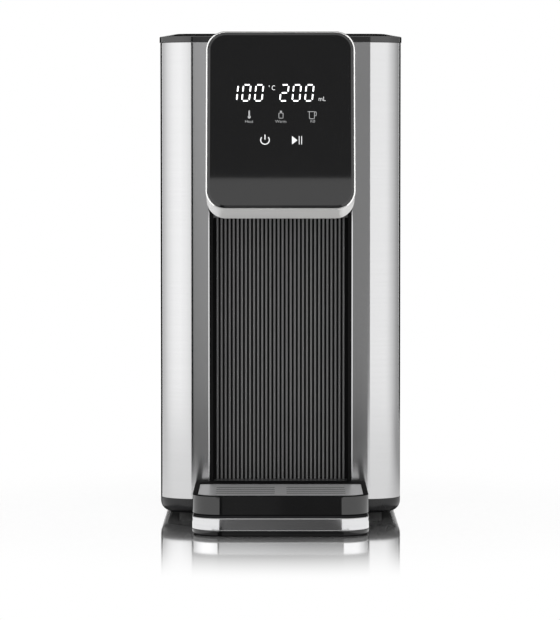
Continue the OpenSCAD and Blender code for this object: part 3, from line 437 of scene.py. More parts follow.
for name, (x0, x1, z0, z1) in flags.items():
    flag = stand_in_studio(name, upright_card(x0, x1, z0, z1, flag_y), card_dark)
    flag.visible_diffuse = flag.visible_shadow = flag.visible_transmission = False
form = upright_card(-low_light_half, low_light_half, 0.0, low_light_height, low_light_y)
low_light = stand_in_studio("low_light", form, plain_light("low_glow", low_light_strength))
low_light.visible_glossy = False

# Base
# A black moulded tub with rounded corners carries the housing, and a low tongue runs forward under the tray.
# It is injection moulded in one piece with a fine even grain.
base_low = Vector((-0.090, -0.047, 0.0044))
base_high = Vector((0.090, 0.152, 0.0155))
base_corner = 0.0253
base_fillet = 0.008
root_high = 0.0063
root_overlap = 0.0002
tongue_low = Vector((-0.0635, -0.152, 0.0004))
tongue_high = Vector((0.0635, -0.024, 0.0041))
tongue_corner = 0.020
tongue_fillet = 0.0012
underside_from = -0.95
base_shades = (0.009, 0.009, 0.0095, 1), (0.013, 0.013, 0.0135, 1)
gloss_shades = (0.0025, 0.0025, 0.0026, 1), (0.0035, 0.0035, 0.0036, 1)
finishes = {}


def two_tone(name, group, led_by, setting, shades, smooth, rough, depth, extra):
    """A finish of two close shades, a varying gloss and a fine relief, led by a node group."""
    material = bpy.data.materials.new(name)
    finishes[name] = material
    material.use_nodes = True
    tree = material.node_tree
    shader = tree.nodes["Principled BSDF"]
    for socket, level in dict(extra).items():
        shader.inputs[socket].default_value = level
    pattern = add_node(tree, "Group", setting, node_tree=group)
    shade_by, gloss_by, height_by = (pattern.outputs[output] for output in led_by)
    gloss = add_node(tree, "MapRange", {"To Min": smooth, "To Max": rough})
    link(tree, (gloss_by, gloss.inputs["Value"]), (gloss.outputs["Result"], shader.inputs["Roughness"]))
    dark, light = shades
    shader.inputs["Base Color"].default_value = dark
    if light != dark:
        shade = add_node(tree, "Mix", {"A": dark, "B": light}, data_type="RGBA")
        link(tree, (shade_by, shade.inputs["Factor"]), (shade.outputs["Result"], shader.inputs["Base Color"]))
    if depth:
        bump = add_node(tree, "Bump", {"Distance": depth})
        link(tree, (height_by, bump.inputs["Height"]), (bump.outputs["Normal"], shader.inputs["Normal"]))
    return material


def pattern_group(name, setting, kind, *outputs):
    """A node group with one setting and its outputs, and its two end nodes."""
    group = bpy.data.node_groups.new(name, "ShaderNodeTree")
    group.interface.new_socket(setting, in_out="INPUT", socket_type=kind)
    for output in outputs:
        group.interface.new_socket(output, in_out="OUTPUT", socket_type="NodeSocketFloat")
    return group, group.nodes.new("NodeGroupInput"), group.nodes.new("NodeGroupOutput")


skin_group, enter, leave = pattern_group("moulded_skin", "Grain", "NodeSocketFloat", "Mottle", "Height")
spot = add_node(skin_group, "TexCoord")
broad = add_node(skin_group, "TexNoise", {"Scale": 55.0, "Detail": 4.0})
fine = add_node(skin_group, "TexNoise", {"Detail": 3.0})
link(
    skin_group,
    (spot.outputs["Object"], broad.inputs["Vector"]),
    (spot.outputs["Object"], fine.inputs["Vector"]),
    (enter.outputs["Grain"], fine.inputs["Scale"]),
    (broad.outputs["Fac"], leave.inputs["Mottle"]),
    (fine.outputs["Fac"], leave.inputs["Height"]),
)


def moulded(name, shades, smooth, rough, grain, depth, extra=()):
    """A moulded plastic or rubber: two close shades, a varying gloss and a fine grain."""
    led_by = ("Mottle", "Mottle", "Height")
    return two_tone(name, skin_group, led_by, {"Grain": grain}, shades, smooth, rough, depth, extra)


def block(low, high):
    """A closed box between two corners."""
    form = bmesh.new()
    bmesh.ops.create_cube(form, size=1.0)
    bmesh.ops.scale(form, verts=form.verts, vec=high - low)
    shift(form, *(low + high) / 2)
    return form


def edges_along(form, axis):
    """The straight edges that run along one axis, 0, 1 or 2."""
    found = []
    for edge in form.edges:
        run = edge.verts[1].co - edge.verts[0].co
        if abs(run[axis]) > 0.999 * run.length:
            found.append(edge)
    return found


def edges_at(form, axis, place):
    """The edges that lie wholly in one plane."""
    return [edge for edge in form.edges if all(abs(vert.co[axis] - place) < 1e-6 for vert in edge.verts)]


def round_over(form, edges, radius, steps):
    """Rounds edges to a radius."""
    bmesh.ops.bevel(
        form, geom=edges, offset=radius, offset_type="OFFSET", segments=steps,
        profile=0.5, affect="EDGES", material=-1,
    )


def add_form(form, other):
    """Adds one form to another and frees it."""
    spare = bpy.data.meshes.new("spare_form")
    other.to_mesh(spare)
    other.free()
    form.from_mesh(spare)
    bpy.data.meshes.remove(spare)


def make_piece(name, form, slot, body, nodes, wall=0.0, soften=0.0, crease=35, material=None):
    """Turns a form into a piece that rides a body, stands for its nodes and takes a finish."""
    mesh = bpy.data.meshes.new(name)
    form.to_mesh(mesh)
    form.free()
    mesh.shade_smooth()
    mesh.materials.append(material or finishes[slot])
    piece = bpy.data.objects.new(name, mesh)
    bpy.context.scene.collection.objects.link(piece)
    if wall:
        sheet = piece.modifiers.new("wall", "SOLIDIFY")
        sheet.thickness = wall
        sheet.offset = -1.0
        sheet.use_even_offset = True
    if soften:
        edge = piece.modifiers.new("soften", "BEVEL")
        edge.width = soften
        edge.segments = 3
        edge.limit_method = "ANGLE"
        edge.angle_limit = math.radians(32)
        even = piece.modifiers.new("even_shading", "WEIGHTED_NORMAL")
        even.keep_sharp = True
    else:
        mesh.set_sharp_from_angle(angle=math.radians(crease))
    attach(piece, body)
    if nodes:
        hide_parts(*nodes)
    return piece


moulded("base_black", base_shades, 0.24, 0.32, 1800, 6e-6, {"Specular IOR Level": 0.4})
base_matt = moulded("base_matt", base_shades, 0.65, 0.75, 1800, 6e-6, {"Specular IOR Level": 0.02})
# The tongue takes a darker gloss black than the rest of the base: painted shade low under the tray.
tongue_shaded_black = moulded("tongue_shaded_black", gloss_shades, 0.030, 0.045, 300, 1e-6, {"Specular IOR Level": 0.8})
form = block(base_low, base_high)
round_over(form, edges_along(form, 2), base_corner, steps=24)
round_over(form, edges_at(form, 2, base_low.z), base_fillet, steps=8)
root_low = Vector((tongue_low.x, base_low.y, tongue_high.z - root_overlap))
add_form(form, block(root_low, Vector((tongue_high.x, tongue_high.y, root_high))))
tongue = block(tongue_low, tongue_high)
round_over(tongue, edges_along(tongue, 2), tongue_corner, steps=24)
round_over(tongue, edges_at(tongue, 2, tongue_low.z), tongue_fillet, steps=5)
add_form(form, tongue)
form.normal_update()
# The underside takes the matt finish, and the tongue's faces take the darker black of painted shade.
for face in form.faces:
    if face.normal.z < underside_from:
        face.material_index = 1
    elif face.calc_center_median().z < tongue_high.z:
        face.material_index = 2
tub = make_piece("base_tub", form, "base_black", "housing", ["base"], soften=0.0003)
tub.data.materials.append(base_matt)
tub.data.materials.append(tongue_shaded_black)

# Base trim
# A bright aluminium band bent round the tongue, just under the tray.
# It is clipped on from the front, with softened upper and lower edges in a darker grey, a painted shade.
trim_low = 0.0041
trim_high = 0.0130
trim_root_y = -0.0472
trim_thickness = 0.001
trim_soften = 0.0006
trim_lines = (30, 30, 1500)
grain_group, enter, leave = pattern_group("brushed_grain", "Lines", "NodeSocketVector", "Streak", "Cloud")
spot = add_node(grain_group, "TexCoord")
stretch = add_node(grain_group, "VectorMath", operation="MULTIPLY")
lines = add_node(grain_group, "TexNoise", {"Scale": 1.0, "Detail": 3.0})
cloud = add_node(grain_group, "TexNoise", {"Scale": 14.0})
link(
    grain_group,
    (spot.outputs["Object"], stretch.inputs[0]),
    (enter.outputs["Lines"], stretch.inputs[1]),
    (stretch.outputs["Vector"], lines.inputs["Vector"]),
    (spot.outputs["Object"], cloud.inputs["Vector"]),
    (lines.outputs["Fac"], leave.inputs["Streak"]),
    (cloud.outputs["Fac"], leave.inputs["Cloud"]),
)


def metal(name, shades, smooth, rough, lines, depth, extra=()):
    """A worked metal: two close shades and a varying gloss along its working lines."""
    led_by = ("Streak", "Cloud", "Streak")
    extra = {"Metallic": 1.0, **dict(extra)}
    return two_tone(name, grain_group, led_by, {"Lines": lines}, shades, smooth, rough, depth, extra)


def bent_sheet(corners, low, high):
    """A sheet bent along the corner points of a plan, standing between two heights."""
    form = bmesh.new()
    posts = [form.verts.new((x, y, low)) for x, y in corners]
    chain = [form.edges.new(pair) for pair in zip(posts, posts[1:])]
    raised = bmesh.ops.extrude_edge_only(form, edges=chain)["geom"]
    upper = [part for part in raised if isinstance(part, bmesh.types.BMVert)]
    bmesh.ops.translate(form, verts=upper, vec=(0, 0, high - low))
    return form


def upright_edges_near(form, x, y):
    """The upright edges that stand at one point of the plan."""
    spot = Vector((x, y))
    return [edge for edge in edges_along(form, 2) if (edge.verts[0].co.xy - spot).length < 1e-5]


def face_towards(form, point):
    """Turns an open sheet so that its faces look at a point."""
    form.normal_update()
    front = max(form.faces, key=lambda face: face.calc_area())
    if front.normal.dot(point - front.calc_center_median()) < 0:
        bmesh.ops.reverse_faces(form, faces=form.faces)


trim_shades = (0.70, 0.70, 0.71, 1), (0.82, 0.82, 0.83, 1)
metal("trim_metal", trim_shades, 0.09, 0.13, trim_lines, 1e-6)
# The band's rounded edges take a darker grey than its face: painted shade along its top and bottom.
edge_painted_shades = (0.30, 0.30, 0.30, 1), (0.36, 0.36, 0.36, 1)
trim_edge_painted_shade = metal("trim_edge_painted_shade", edge_painted_shades, 0.26, 0.32, trim_lines, 1e-6, {"Metallic": 0.3})
trim_plan = [
    (tongue_low.x, trim_root_y),
    (tongue_low.x, tongue_low.y),
    (tongue_high.x, tongue_low.y),
    (tongue_high.x, trim_root_y),
]
form = bent_sheet(trim_plan, trim_low, trim_high)
for x, y in trim_plan[1:3]:
    round_over(form, upright_edges_near(form, x, y), tongue_corner, steps=24)
face_towards(form, Vector((0, -1, 0.01)))
trim = make_piece(
    "base_trim_band", form, "trim_metal", "housing", ["base_trim"], wall=trim_thickness, soften=trim_soften
)
trim.data.materials.append(trim_edge_painted_shade)
trim.modifiers["soften"].material = 1

# Side panels
# Two brushed steel sheets, each bent round a front corner and folded back at the cup bay.
# They are pressed from 1 mm sheet and screwed to the chassis from inside.
panel_low = 0.0155
panel_high = 0.3552
panel_back_y = 0.065
panel_front_y = -0.047
panel_side_x = 0.090
fold_x = 0.0525
fold_y = -0.039
panel_corner = 0.0253
fold_corner = 0.0013
panel_thickness = 0.0010
panel_shades = (0.60, 0.60, 0.605, 1), (0.66, 0.66, 0.665, 1)
panel_brushing = {"Anisotropic": 0.9, "Anisotropic Rotation": 0.25}
metal("steel_panel", panel_shades, 0.10, 0.13, (18, 18, 2600), 5e-7, panel_brushing)
for side in (-1, 1):
    panel_plan = [
        (side * panel_side_x, panel_back_y),
        (side * panel_side_x, panel_front_y),
        (side * fold_x, panel_front_y),
        (side * fold_x, fold_y),
    ]
    form = bent_sheet(panel_plan, panel_low, panel_high)
    round_over(form, upright_edges_near(form, side * panel_side_x, panel_front_y), panel_corner, steps=32)
    round_over(form, upright_edges_near(form, side * fold_x, panel_front_y), fold_corner, steps=6)
    face_towards(form, Vector((side, 0, 0.2)))
    name = "left_panel" if side < 0 else "right_panel"
    make_piece(name + "_sheet", form, "steel_panel", "housing", [name], wall=panel_thickness, soften=0.00025)

# Cup bay liner
# A black channel behind the bay with upright half round ribs on its back.
# It is moulded in one piece, satin on the ribs, and clipped between the two panels; its channel is painted
# near black as painted shade.
liner_side_x = 0.0503
liner_front_y = -0.046
liner_back_y = -0.0292
liner_low = 0.0166
liner_high = 0.354
liner_wall = 0.0020
liner_corner = 0.0015
rib_count = 32
rib_pitch = 0.00305
rib_width = 0.0016
rib_round = 0.0005
rib_tip_y = -0.031
rib_root_y = liner_back_y + 0.0004
rib_low = 0.029
rib_high = 0.225
inner_side_x = 0.0502
bay_floor_low = 0.027
sill_back_y = liner_front_y + 0.002
liner_shades = (0.040, 0.040, 0.0405, 1), (0.048, 0.048, 0.0485, 1)
liner_satin = {"Specular IOR Level": 1.0, "Coat Weight": 0.5, "Coat Roughness": 0.3}
moulded("liner_black", liner_shades, 0.32, 0.40, 1500, 2e-6, liner_satin)
# Near black and matt for the channel: painted shade in the grooves between the ribs and on the bay's walls.
groove_shade_tones = (0.002, 0.002, 0.0021, 1), (0.003, 0.003, 0.0031, 1)
liner_groove_shade = moulded("liner_groove_shade", groove_shade_tones, 0.60, 0.70, 1500, 6e-6, {"Specular IOR Level": 0.1})
liner_plan = [
    (-liner_side_x, liner_front_y),
    (-liner_side_x, liner_back_y),
    (liner_side_x, liner_back_y),
    (liner_side_x, liner_front_y),
]
form = bent_sheet(liner_plan, liner_low, liner_high)
for x, y in liner_plan[1:3]:
    round_over(form, upright_edges_near(form, x, y), liner_corner, steps=5)
face_towards(form, Vector((0, -1, 0.2)))
make_piece(
    "bay_channel", form, "liner_black", "housing", [], wall=liner_wall, soften=0.0003, material=liner_groove_shade
)
form = bmesh.new()
for count in range(rib_count):
    middle = (count - (rib_count - 1) / 2) * rib_pitch
    low = Vector((middle - rib_width / 2, rib_tip_y, rib_low))
    high = Vector((middle + rib_width / 2, rib_root_y, rib_high))
    rib = block(low, high)
    tips = [edge for edge in edges_along(rib, 2) if edge.verts[0].co.y < rib_tip_y + 1e-6]
    round_over(rib, tips, rib_round, steps=4)
    add_form(form, rib)
bay_blocks = (
    (rib_tip_y, rib_root_y, rib_high, liner_high),
    (liner_front_y, rib_root_y, bay_floor_low, rib_low),
    (liner_front_y, sill_back_y, liner_low, rib_low),
)
for y0, y1, z0, z1 in bay_blocks:
    add_form(form, block(Vector((-inner_side_x, y0, z0)), Vector((inner_side_x, y1, z1))))
make_piece("bay_ribs", form, "liner_black", "housing", ["bay_liner"], soften=0.0002)

# Top cover and tank lid
# Two gloss black mouldings share one low crowned form: the fixed cover in front and the hinged lid behind.
# A sloped band runs round the flat top, and the lid ends in a knuckle round its hinge pin.
cover_low = Vector((-0.0905, -0.0475, 0.3552))
cover_high = Vector((0.0905, 0.1517, 0.3597))
cover_corner = 0.0258
cover_slope = 0.0110
cover_rise = 0.0021
cover_split_y = 0.065
lid_front_y = 0.0664
lid_low = 0.356
hinge_y = 0.1491
hinge_z = 0.3586
knuckle_radius = 0.0026
knuckle_spans = ((-0.066, -0.0494), (-0.0406, 0.0406), (0.0494, 0.066))
cover_shades = (0.003, 0.003, 0.0031, 1), (0.0045, 0.0045, 0.0047, 1)
moulded("cover_black", cover_shades, 0.10, 0.14, 300, 1e-6, {"Specular IOR Level": 1.0})


def crowned_top(low, cuts):
    """The low crowned form of the top, from a height up, cut off at places along Y, each one way."""
    form = block(Vector((cover_low.x, cover_low.y, low)), cover_high)
    round_over(form, edges_along(form, 2), cover_corner, steps=32)
    top = max(form.faces, key=lambda face: face.calc_center_median().z)
    bmesh.ops.inset_region(form, faces=[top], thickness=cover_slope, depth=cover_rise, use_even_offset=True)
    for place, way in cuts:
        parts = list(form.verts) + list(form.edges) + list(form.faces)
        bmesh.ops.bisect_plane(
            form, geom=parts, plane_co=(0, place, 0), plane_no=(0, way, 0), clear_outer=True
        )
        bmesh.ops.holes_fill(form, edges=form.edges)
    bmesh.ops.recalc_face_normals(form, faces=form.faces)
    return form


def rod(x0, x1, y, z, radius):
    """A closed round rod along X."""
    form = bmesh.new()
    bmesh.ops.create_cone(form, cap_ends=True, segments=32, radius1=radius, radius2=radius, depth=x1 - x0)
    turn(form, 90, "Y")
    shift(form, (x0 + x1) / 2, y, z)
    return form


form = crowned_top(cover_low.z, [(cover_split_y, 1)])
make_piece("top_cover_shell", form, "cover_black", "housing", ["top_cover"], soften=0.0005)
form = crowned_top(lid_low, [(lid_front_y, -1), (hinge_y, 1)])
for x0, x1 in knuckle_spans:
    add_form(form, rod(x0, x1, hinge_y, hinge_z, knuckle_radius))
make_piece("tank_lid_shell", form, "cover_black", "lid", ["tank_lid"], soften=0.0005)

# Head ring
# A satin aluminium surround that holds the control glass, tilted back towards the user's eye.
# It is cast, brushed and screwed to the head shell from inside; the rim's front at top and bottom is painted
# darker, a painted shade.
ring_width = 0.1072
ring_height = 0.1314
ring_depth = 0.0322
ring_corner = 0.014
ring_rim = 0.0009
ring_seat = 0.0032
painted_rim_band = 0.0030
ring_lines = (25, 1200, 1200)
front_from = -0.9
head_face = Matrix.Translation(glass_foot) @ Matrix.Rotation(-glass_tilt, 4, "X")


def tilt_to_head(form):
    """Takes a form from the head's own upright frame to its tilted place."""
    bmesh.ops.transform(form, verts=form.verts, matrix=head_face)


def sink(form, face, margin, push):
    """Insets a face by a margin and pushes what is left along a vector."""
    bmesh.ops.inset_region(form, faces=[face], thickness=margin, use_even_offset=True)
    moved = bmesh.ops.extrude_face_region(form, geom=[face])["geom"]
    verts = [part for part in moved if isinstance(part, bmesh.types.BMVert)]
    bmesh.ops.translate(form, verts=verts, vec=push)
    if face.is_valid:
        bmesh.ops.delete(form, geom=[face], context="FACES_ONLY")
    return [part for part in moved if isinstance(part, bmesh.types.BMFace)][0]


def face_looking(form, way):
    """The large face that looks most along a direction."""
    form.normal_update()
    return max(form.faces, key=lambda face: face.normal.dot(way) * 10 + face.calc_area())


head_shades = (0.84, 0.835, 0.825, 1), (0.93, 0.925, 0.915, 1)
metal("head_metal", head_shades, 0.24, 0.30, ring_lines, 1e-6, {"Metallic": 0.4})
# The rim's front at the top and bottom takes a darker grey of the same metal: painted shade.
rim_painted_shades = (0.24, 0.24, 0.235, 1), (0.29, 0.29, 0.285, 1)
ring_painted_shade = metal("ring_painted_shade", rim_painted_shades, 0.30, 0.36, ring_lines, 1e-6, {"Metallic": 0.4})
form = block(Vector((-ring_width / 2, 0, 0)), Vector((ring_width / 2, ring_depth, ring_height)))
round_over(form, edges_along(form, 1), ring_corner, steps=20)
sink(form, face_looking(form, Vector((0, -1, 0))), ring_rim, (0, ring_seat, 0))
form.normal_update()
# Front faces near the top and bottom edges take the painted shade.
for face in form.faces:
    from_middle = abs(face.calc_center_median().z - ring_height / 2)
    if face.normal.y < front_from and from_middle > ring_height / 2 - painted_rim_band:
        face.material_index = 1
tilt_to_head(form)
ring = make_piece("head_ring_frame", form, "head_metal", "housing", ["head_ring"], soften=0.0005)
ring.data.materials.append(ring_painted_shade)

# Control glass
# A black sheet of glass with a ground chamfer round it, flush in the ring.
# Its back is coated black, and the touch fields sense a finger through it.
glass_margin = 0.0013
glass_thickness = 0.0030
glass_corner = 0.0127
chamfer_width = 0.0016
chamfer_drop = 0.0004
glass_shades = (0.0035, 0.0035, 0.0037, 1), (0.0045, 0.0045, 0.0047, 1)
moulded("control_glass", glass_shades, 0.020, 0.028, 40, 0.0, {"Specular IOR Level": 0.75})
form = block(
    Vector((-ring_width / 2 + glass_margin, chamfer_drop, glass_margin)),
    Vector((ring_width / 2 - glass_margin, glass_thickness, ring_height - glass_margin)),
)
round_over(form, edges_along(form, 1), glass_corner, steps=20)
front = face_looking(form, Vector((0, -1, 0)))
bmesh.ops.inset_region(form, faces=[front], thickness=chamfer_width, depth=chamfer_drop, use_even_offset=True)
tilt_to_head(form)
make_piece("control_glass_sheet", form, "control_glass", "housing", ["control_glass"], crease=8)

# Display figures
# White light shows through the coating as two slanted numbers of seven bars, the heat and the amount.
# They lie in the glass's own surface and do not move.
sign_proud = 0.00005
sign_back = 0.0001
bar_thick = 0.00100
bar_across = 0.0037
bar_up = 0.0041
bar_round = 0.0004
digit_side = 0.0026
digit_end = 0.0059
digit_middle = 0.0030
digit_slant = 0.105
digit_height = 0.0856
digits = (
    ("bc", -0.0336), ("abcdef", -0.0246), ("abcdef", -0.0155),
    ("abged", 0.0027), ("abcdef", 0.0116), ("abcdef", 0.0207),
)
bar_places = {
    "a": (0, digit_end, bar_across, bar_thick),
    "b": (digit_side, digit_middle, bar_thick, bar_up),
    "c": (digit_side, -digit_middle, bar_thick, bar_up),
    "d": (0, -digit_end, bar_across, bar_thick),
    "e": (-digit_side, -digit_middle, bar_thick, bar_up),
    "f": (-digit_side, digit_middle, bar_thick, bar_up),
    "g": (0, 0, bar_across, bar_thick),
}


def lit(name, colour, low, high):
    """White light behind a coating, a little uneven."""
    material = moulded(name, (colour, colour), 0.3, 0.4, 900, 1e-7, {"Emission Strength": 1.0})
    tree = material.node_tree
    shader = tree.nodes["Principled BSDF"]
    spot = add_node(tree, "TexCoord")
    spread = add_node(tree, "TexNoise", {"Scale": 220.0})
    level = add_node(tree, "Mix", {"A": low, "B": high}, data_type="RGBA")
    link(
        tree,
        (spot.outputs["Object"], spread.inputs["Vector"]),
        (spread.outputs["Fac"], level.inputs["Factor"]),
        (level.outputs["Result"], shader.inputs["Emission Color"]),
    )
    return material


def plate(x, z, width, height, corner):
    """A thin rounded plate on the glass, about a point of its face."""
    low = Vector((x - width / 2, -sign_proud, z - height / 2))
    high = Vector((x + width / 2, sign_back, z + height / 2))
    form = block(low, high)
    round_over(form, edges_along(form, 1), corner, steps=3)
    return form


digit_light = lit("digit_light", (0.8, 0.8, 0.8, 1), (0.90, 0.92, 0.94, 1), (1, 1, 1, 1))
lean = Matrix.Identity(4)
lean[0][2] = digit_slant
form = bmesh.new()
for bars, place in digits:
    digit = bmesh.new()
    for letter in bars:
        add_form(digit, plate(*bar_places[letter], bar_round))
    bmesh.ops.transform(digit, verts=digit.verts, matrix=lean)
    shift(digit, place, 0, digit_height)
    add_form(form, digit)
tilt_to_head(form)
make_piece("display_figures", form, "white_plastic", "housing", [], material=digit_light)

# Touch signs
# On, start and pause are bright; the thermometer, the bottle and the jug of the three settings are fainter.
# Each is a clear place in the glass's black coating with white light behind it.
sign_line = 0.00036
sign_round = 0.0002
sign_sink = 0.0003
power_place = (-0.01116, 0.0508)
power_radius = 0.0031
power_gap = math.radians(96)
power_steps = 28
power_bar_up = 0.0021
power_bar_height = 0.0036
play_place = (0.0095, 0.0506)
arrow_radius = 0.0036
arrow_narrow = 0.72
pause_places = (0.01337, 0.01513)
pause_width = 0.0005
pause_height = 0.0062
small_from_z = 0.06
small_plates = {
    "thermometer_stem": (-0.0225, 0.0703, 0.0011, 0.0046, 0.0004),
    "thermometer_bulb": (-0.0225, 0.0677, 0.0022, 0.0021, 0.0009),
    "bottle_neck": (0.0003, 0.0717, 0.0014, 0.0013, 0.0004),
    "jug_lip": (0.0204, 0.0717, 0.0018, 0.0004, 0.0001),
}
small_outlines = {
    "bottle": (0.0003, 0.0688, 0.0034, 0.0042, 0.0008),
    "jug": (0.0225, 0.0691, 0.0040, 0.0056, 0.0006),
    "jug_handle": (0.0250, 0.0701, 0.0016, 0.0032, 0.0005),
}
sign_light = lit("sign_light", (0.42, 0.42, 0.42, 1), (0.30, 0.31, 0.32, 1), (0.40, 0.41, 0.42, 1))
small_light = lit("small_light", (0.20, 0.20, 0.20, 1), (0.15, 0.155, 0.16, 1), (0.20, 0.205, 0.21, 1))
inner = (0, -sign_proud, power_radius - sign_line)
outer = (0, -sign_proud, power_radius + sign_line)
form = swept_strip(inner, outer, Vector((0, 1, 0)), power_gap / 2, 2 * math.pi - power_gap, power_steps)
face_towards(form, Vector((0, -1, 0)))
shift(form, power_place[0], 0, power_place[1])
power_bar_z = power_place[1] + power_bar_up
add_form(form, plate(power_place[0], power_bar_z, 2 * sign_line, power_bar_height, sign_round))
arrow = bmesh.new()
bmesh.ops.create_cone(
    arrow, cap_ends=True, segments=3, radius1=arrow_radius, radius2=arrow_radius, depth=2 * sign_proud
)
turn(arrow, -90, "Z")
turn(arrow, 90, "X")
bmesh.ops.scale(arrow, verts=arrow.verts, vec=(arrow_narrow, 1, 1))
shift(arrow, play_place[0], 0, play_place[1])
add_form(form, arrow)
for x in pause_places:
    add_form(form, plate(x, play_place[1], pause_width, pause_height, sign_round))
for sizes in small_plates.values():
    add_form(form, plate(*sizes))
for sizes in small_outlines.values():
    outline = plate(*sizes)
    sink(outline, face_looking(outline, Vector((0, -1, 0))), sign_line, (0, sign_sink, 0))
    add_form(form, outline)
for face in form.faces:
    if face.calc_center_median().z > small_from_z:
        face.material_index = 1
tilt_to_head(form)
signs = make_piece("touch_signs", form, "white_plastic", "housing", [], material=sign_light)
signs.data.materials.append(small_light)

# Units and words
# The units stand beside the numbers, and a plain word stands under each of the three settings.
# They are lit through the coating as the signs are.
setting_words = {"Heat": -0.0226, "Warm": 0.0002, "Fill": 0.0231}
word_z = 0.0635
word_height = 0.0031
stroke_loss = 0.012
unit_light = lit("unit_light", (0.6, 0.6, 0.6, 1), (0.54, 0.55, 0.56, 1), (0.64, 0.65, 0.66, 1))


def sign_word(name, words, x, z, height, material, narrow=1.0):
    """A short plain word or unit on the glass, made a mesh at its place."""
    curve = bpy.data.curves.new(name + "_curve", "FONT")
    curve.body = words
    curve.size = height
    curve.align_x = "CENTER"
    curve.extrude = sign_proud
    curve.offset = -stroke_loss * height
    curve.resolution_u = 4
    holder = bpy.data.objects.new(name + "_holder", curve)
    bpy.context.scene.collection.objects.link(holder)
    bpy.context.view_layer.update()
    drawn = bpy.data.meshes.new_from_object(holder.evaluated_get(bpy.context.evaluated_depsgraph_get()))
    bpy.data.objects.remove(holder)
    bpy.data.curves.remove(curve)
    form = bmesh.new()
    form.from_mesh(drawn)
    bpy.data.meshes.remove(drawn)
    turn(form, 90, "X")
    bmesh.ops.scale(form, verts=form.verts, vec=(narrow, 1, 1))
    shift(form, x, 0, z)
    tilt_to_head(form)
    make_piece(name, form, "white_plastic", "housing", [], material=material)


sign_word("unit_heat", "° C", -0.0064, 0.0876, 0.0050, unit_light, narrow=0.72)
sign_word("unit_amount", "mL", 0.0298, 0.0796, 0.0048, sign_light, narrow=0.9)
for words, x in setting_words.items():
    sign_word("word_" + words.lower(), words, x, word_z, word_height, small_light)

# Drip tray
# A gloss black tray with a thin raised rim in front and a broad flat rim behind.
# It is moulded with a ledge for the grille and a basin below, and slides out forward.
tray_low = Vector((-0.0632, -0.1517, 0.0149))
tray_high = Vector((0.0632, -0.0473, 0.02925))
tray_middle = (tray_low + tray_high) / 2
tray_corner = 0.0197
tray_front_wall = 0.0018
tray_round = 0.0008
recess_side_x = 0.0596
recess_back_y = -0.0653
recess_inset = tray_front_wall - tray_round
ledge_drop = 0.00215
basin_margin = 0.0022
basin_drop = 0.0077
hollow_margin = 0.003
hollow_rise = 0.0025
satin_from = 0.15
moulded("tray_black", gloss_shades, 0.030, 0.045, 300, 1e-6, {"Specular IOR Level": 0.95})
# This dark satin is the tray's own finish, and is also painted on the grille's slot walls as painted shade.
satin_and_slot_shades = (0.004, 0.004, 0.0042, 1), (0.006, 0.006, 0.0062, 1)
tray_satin_and_slot_shade = moulded("tray_satin_and_slot_shade", satin_and_slot_shades, 0.65, 0.75, 2200, 1.2e-5, {"Specular IOR Level": 0.02})
form = block(tray_low, tray_high)
corners = [edge for edge in edges_along(form, 2) if edge.verts[0].co.y < tray_middle.y]
round_over(form, corners, tray_corner, steps=24)
round_over(form, edges_at(form, 2, tray_high.z) + edges_at(form, 2, tray_low.z), tray_round, steps=4)
cuts = (
    (Vector((recess_side_x + recess_inset, 0, 0)), Vector((1, 0, 0))),
    (Vector((-recess_side_x - recess_inset, 0, 0)), Vector((1, 0, 0))),
    (Vector((0, recess_back_y + recess_inset, 0)), Vector((0, 1, 0))),
)
for place, way in cuts:
    form.normal_update()
    tops = [face for face in form.faces if face.normal.z > 0.99]
    parts = set(tops)
    for face in tops:
        parts.update(face.edges)
        parts.update(face.verts)
    bmesh.ops.bisect_plane(form, geom=list(parts), plane_co=place, plane_no=way)
recess = sink(form, face_looking(form, Vector((0, 0, 1))), recess_inset, (0, 0, -ledge_drop))
sink(form, recess, basin_margin, (0, 0, -basin_drop))
sink(form, face_looking(form, Vector((0, 0, -1))), hollow_margin, (0, 0, hollow_rise))
form.normal_update()
for face in form.faces:
    inward = (tray_middle - face.calc_center_median()).xy.dot(face.normal.xy) > 0
    if inward or abs(face.normal.z) > satin_from:
        face.material_index = 1
tray = make_piece("drip_tray_shell", form, "tray_black", "tray", ["drip_tray"])
tray.data.materials.append(tray_satin_and_slot_shade)
even = tray.modifiers.new("even_shading", "WEIGHTED_NORMAL")
even.keep_sharp = True

# Drip grille
# A loose stamped steel plate with rows of long slots, lying on the tray's ledge.
# It is brushed along its length and lifted out by hand; the walls of its slots are painted black, a painted
# shade.
grille_sink = 0.0011
grille_border = 0.005
grille_flatness = math.radians(0.5)
wall_below = 0.5
grille_shades = (0.66, 0.66, 0.665, 1), (0.78, 0.78, 0.785, 1)
metal("grille_steel", grille_shades, 0.30, 0.38, (30, 1800, 1800), 2e-6, {"Metallic": 0.6})


def merged(node):
    """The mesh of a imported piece, with its doubled corner points merged."""
    form = bmesh.new()
    form.from_mesh(frame["nodes"][node].data)
    bmesh.ops.remove_doubles(form, verts=form.verts, dist=1e-6)
    return form


form = merged("drip_grille")
bmesh.ops.dissolve_limit(form, angle_limit=grille_flatness, verts=form.verts, edges=form.edges)
form.normal_update()
grille_low, grille_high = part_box("drip_grille")
# Slot walls inside the border take the tray's dark satin: painted shade in the slots.
for face in form.faces:
    spot = face.calc_center_median()
    aside = min(spot.x - grille_low[0], grille_high[0] - spot.x)
    along = min(spot.y - grille_low[1], grille_high[1] - spot.y)
    if abs(face.normal.z) < wall_below and min(aside, along) > grille_border:
        face.material_index = 1
shift(form, 0, 0, -grille_sink)
grille = make_piece("drip_grille_plate", form, "grille_steel", "grille", ["drip_grille"], soften=0.0002)
grille.data.materials.append(tray_satin_and_slot_shade)

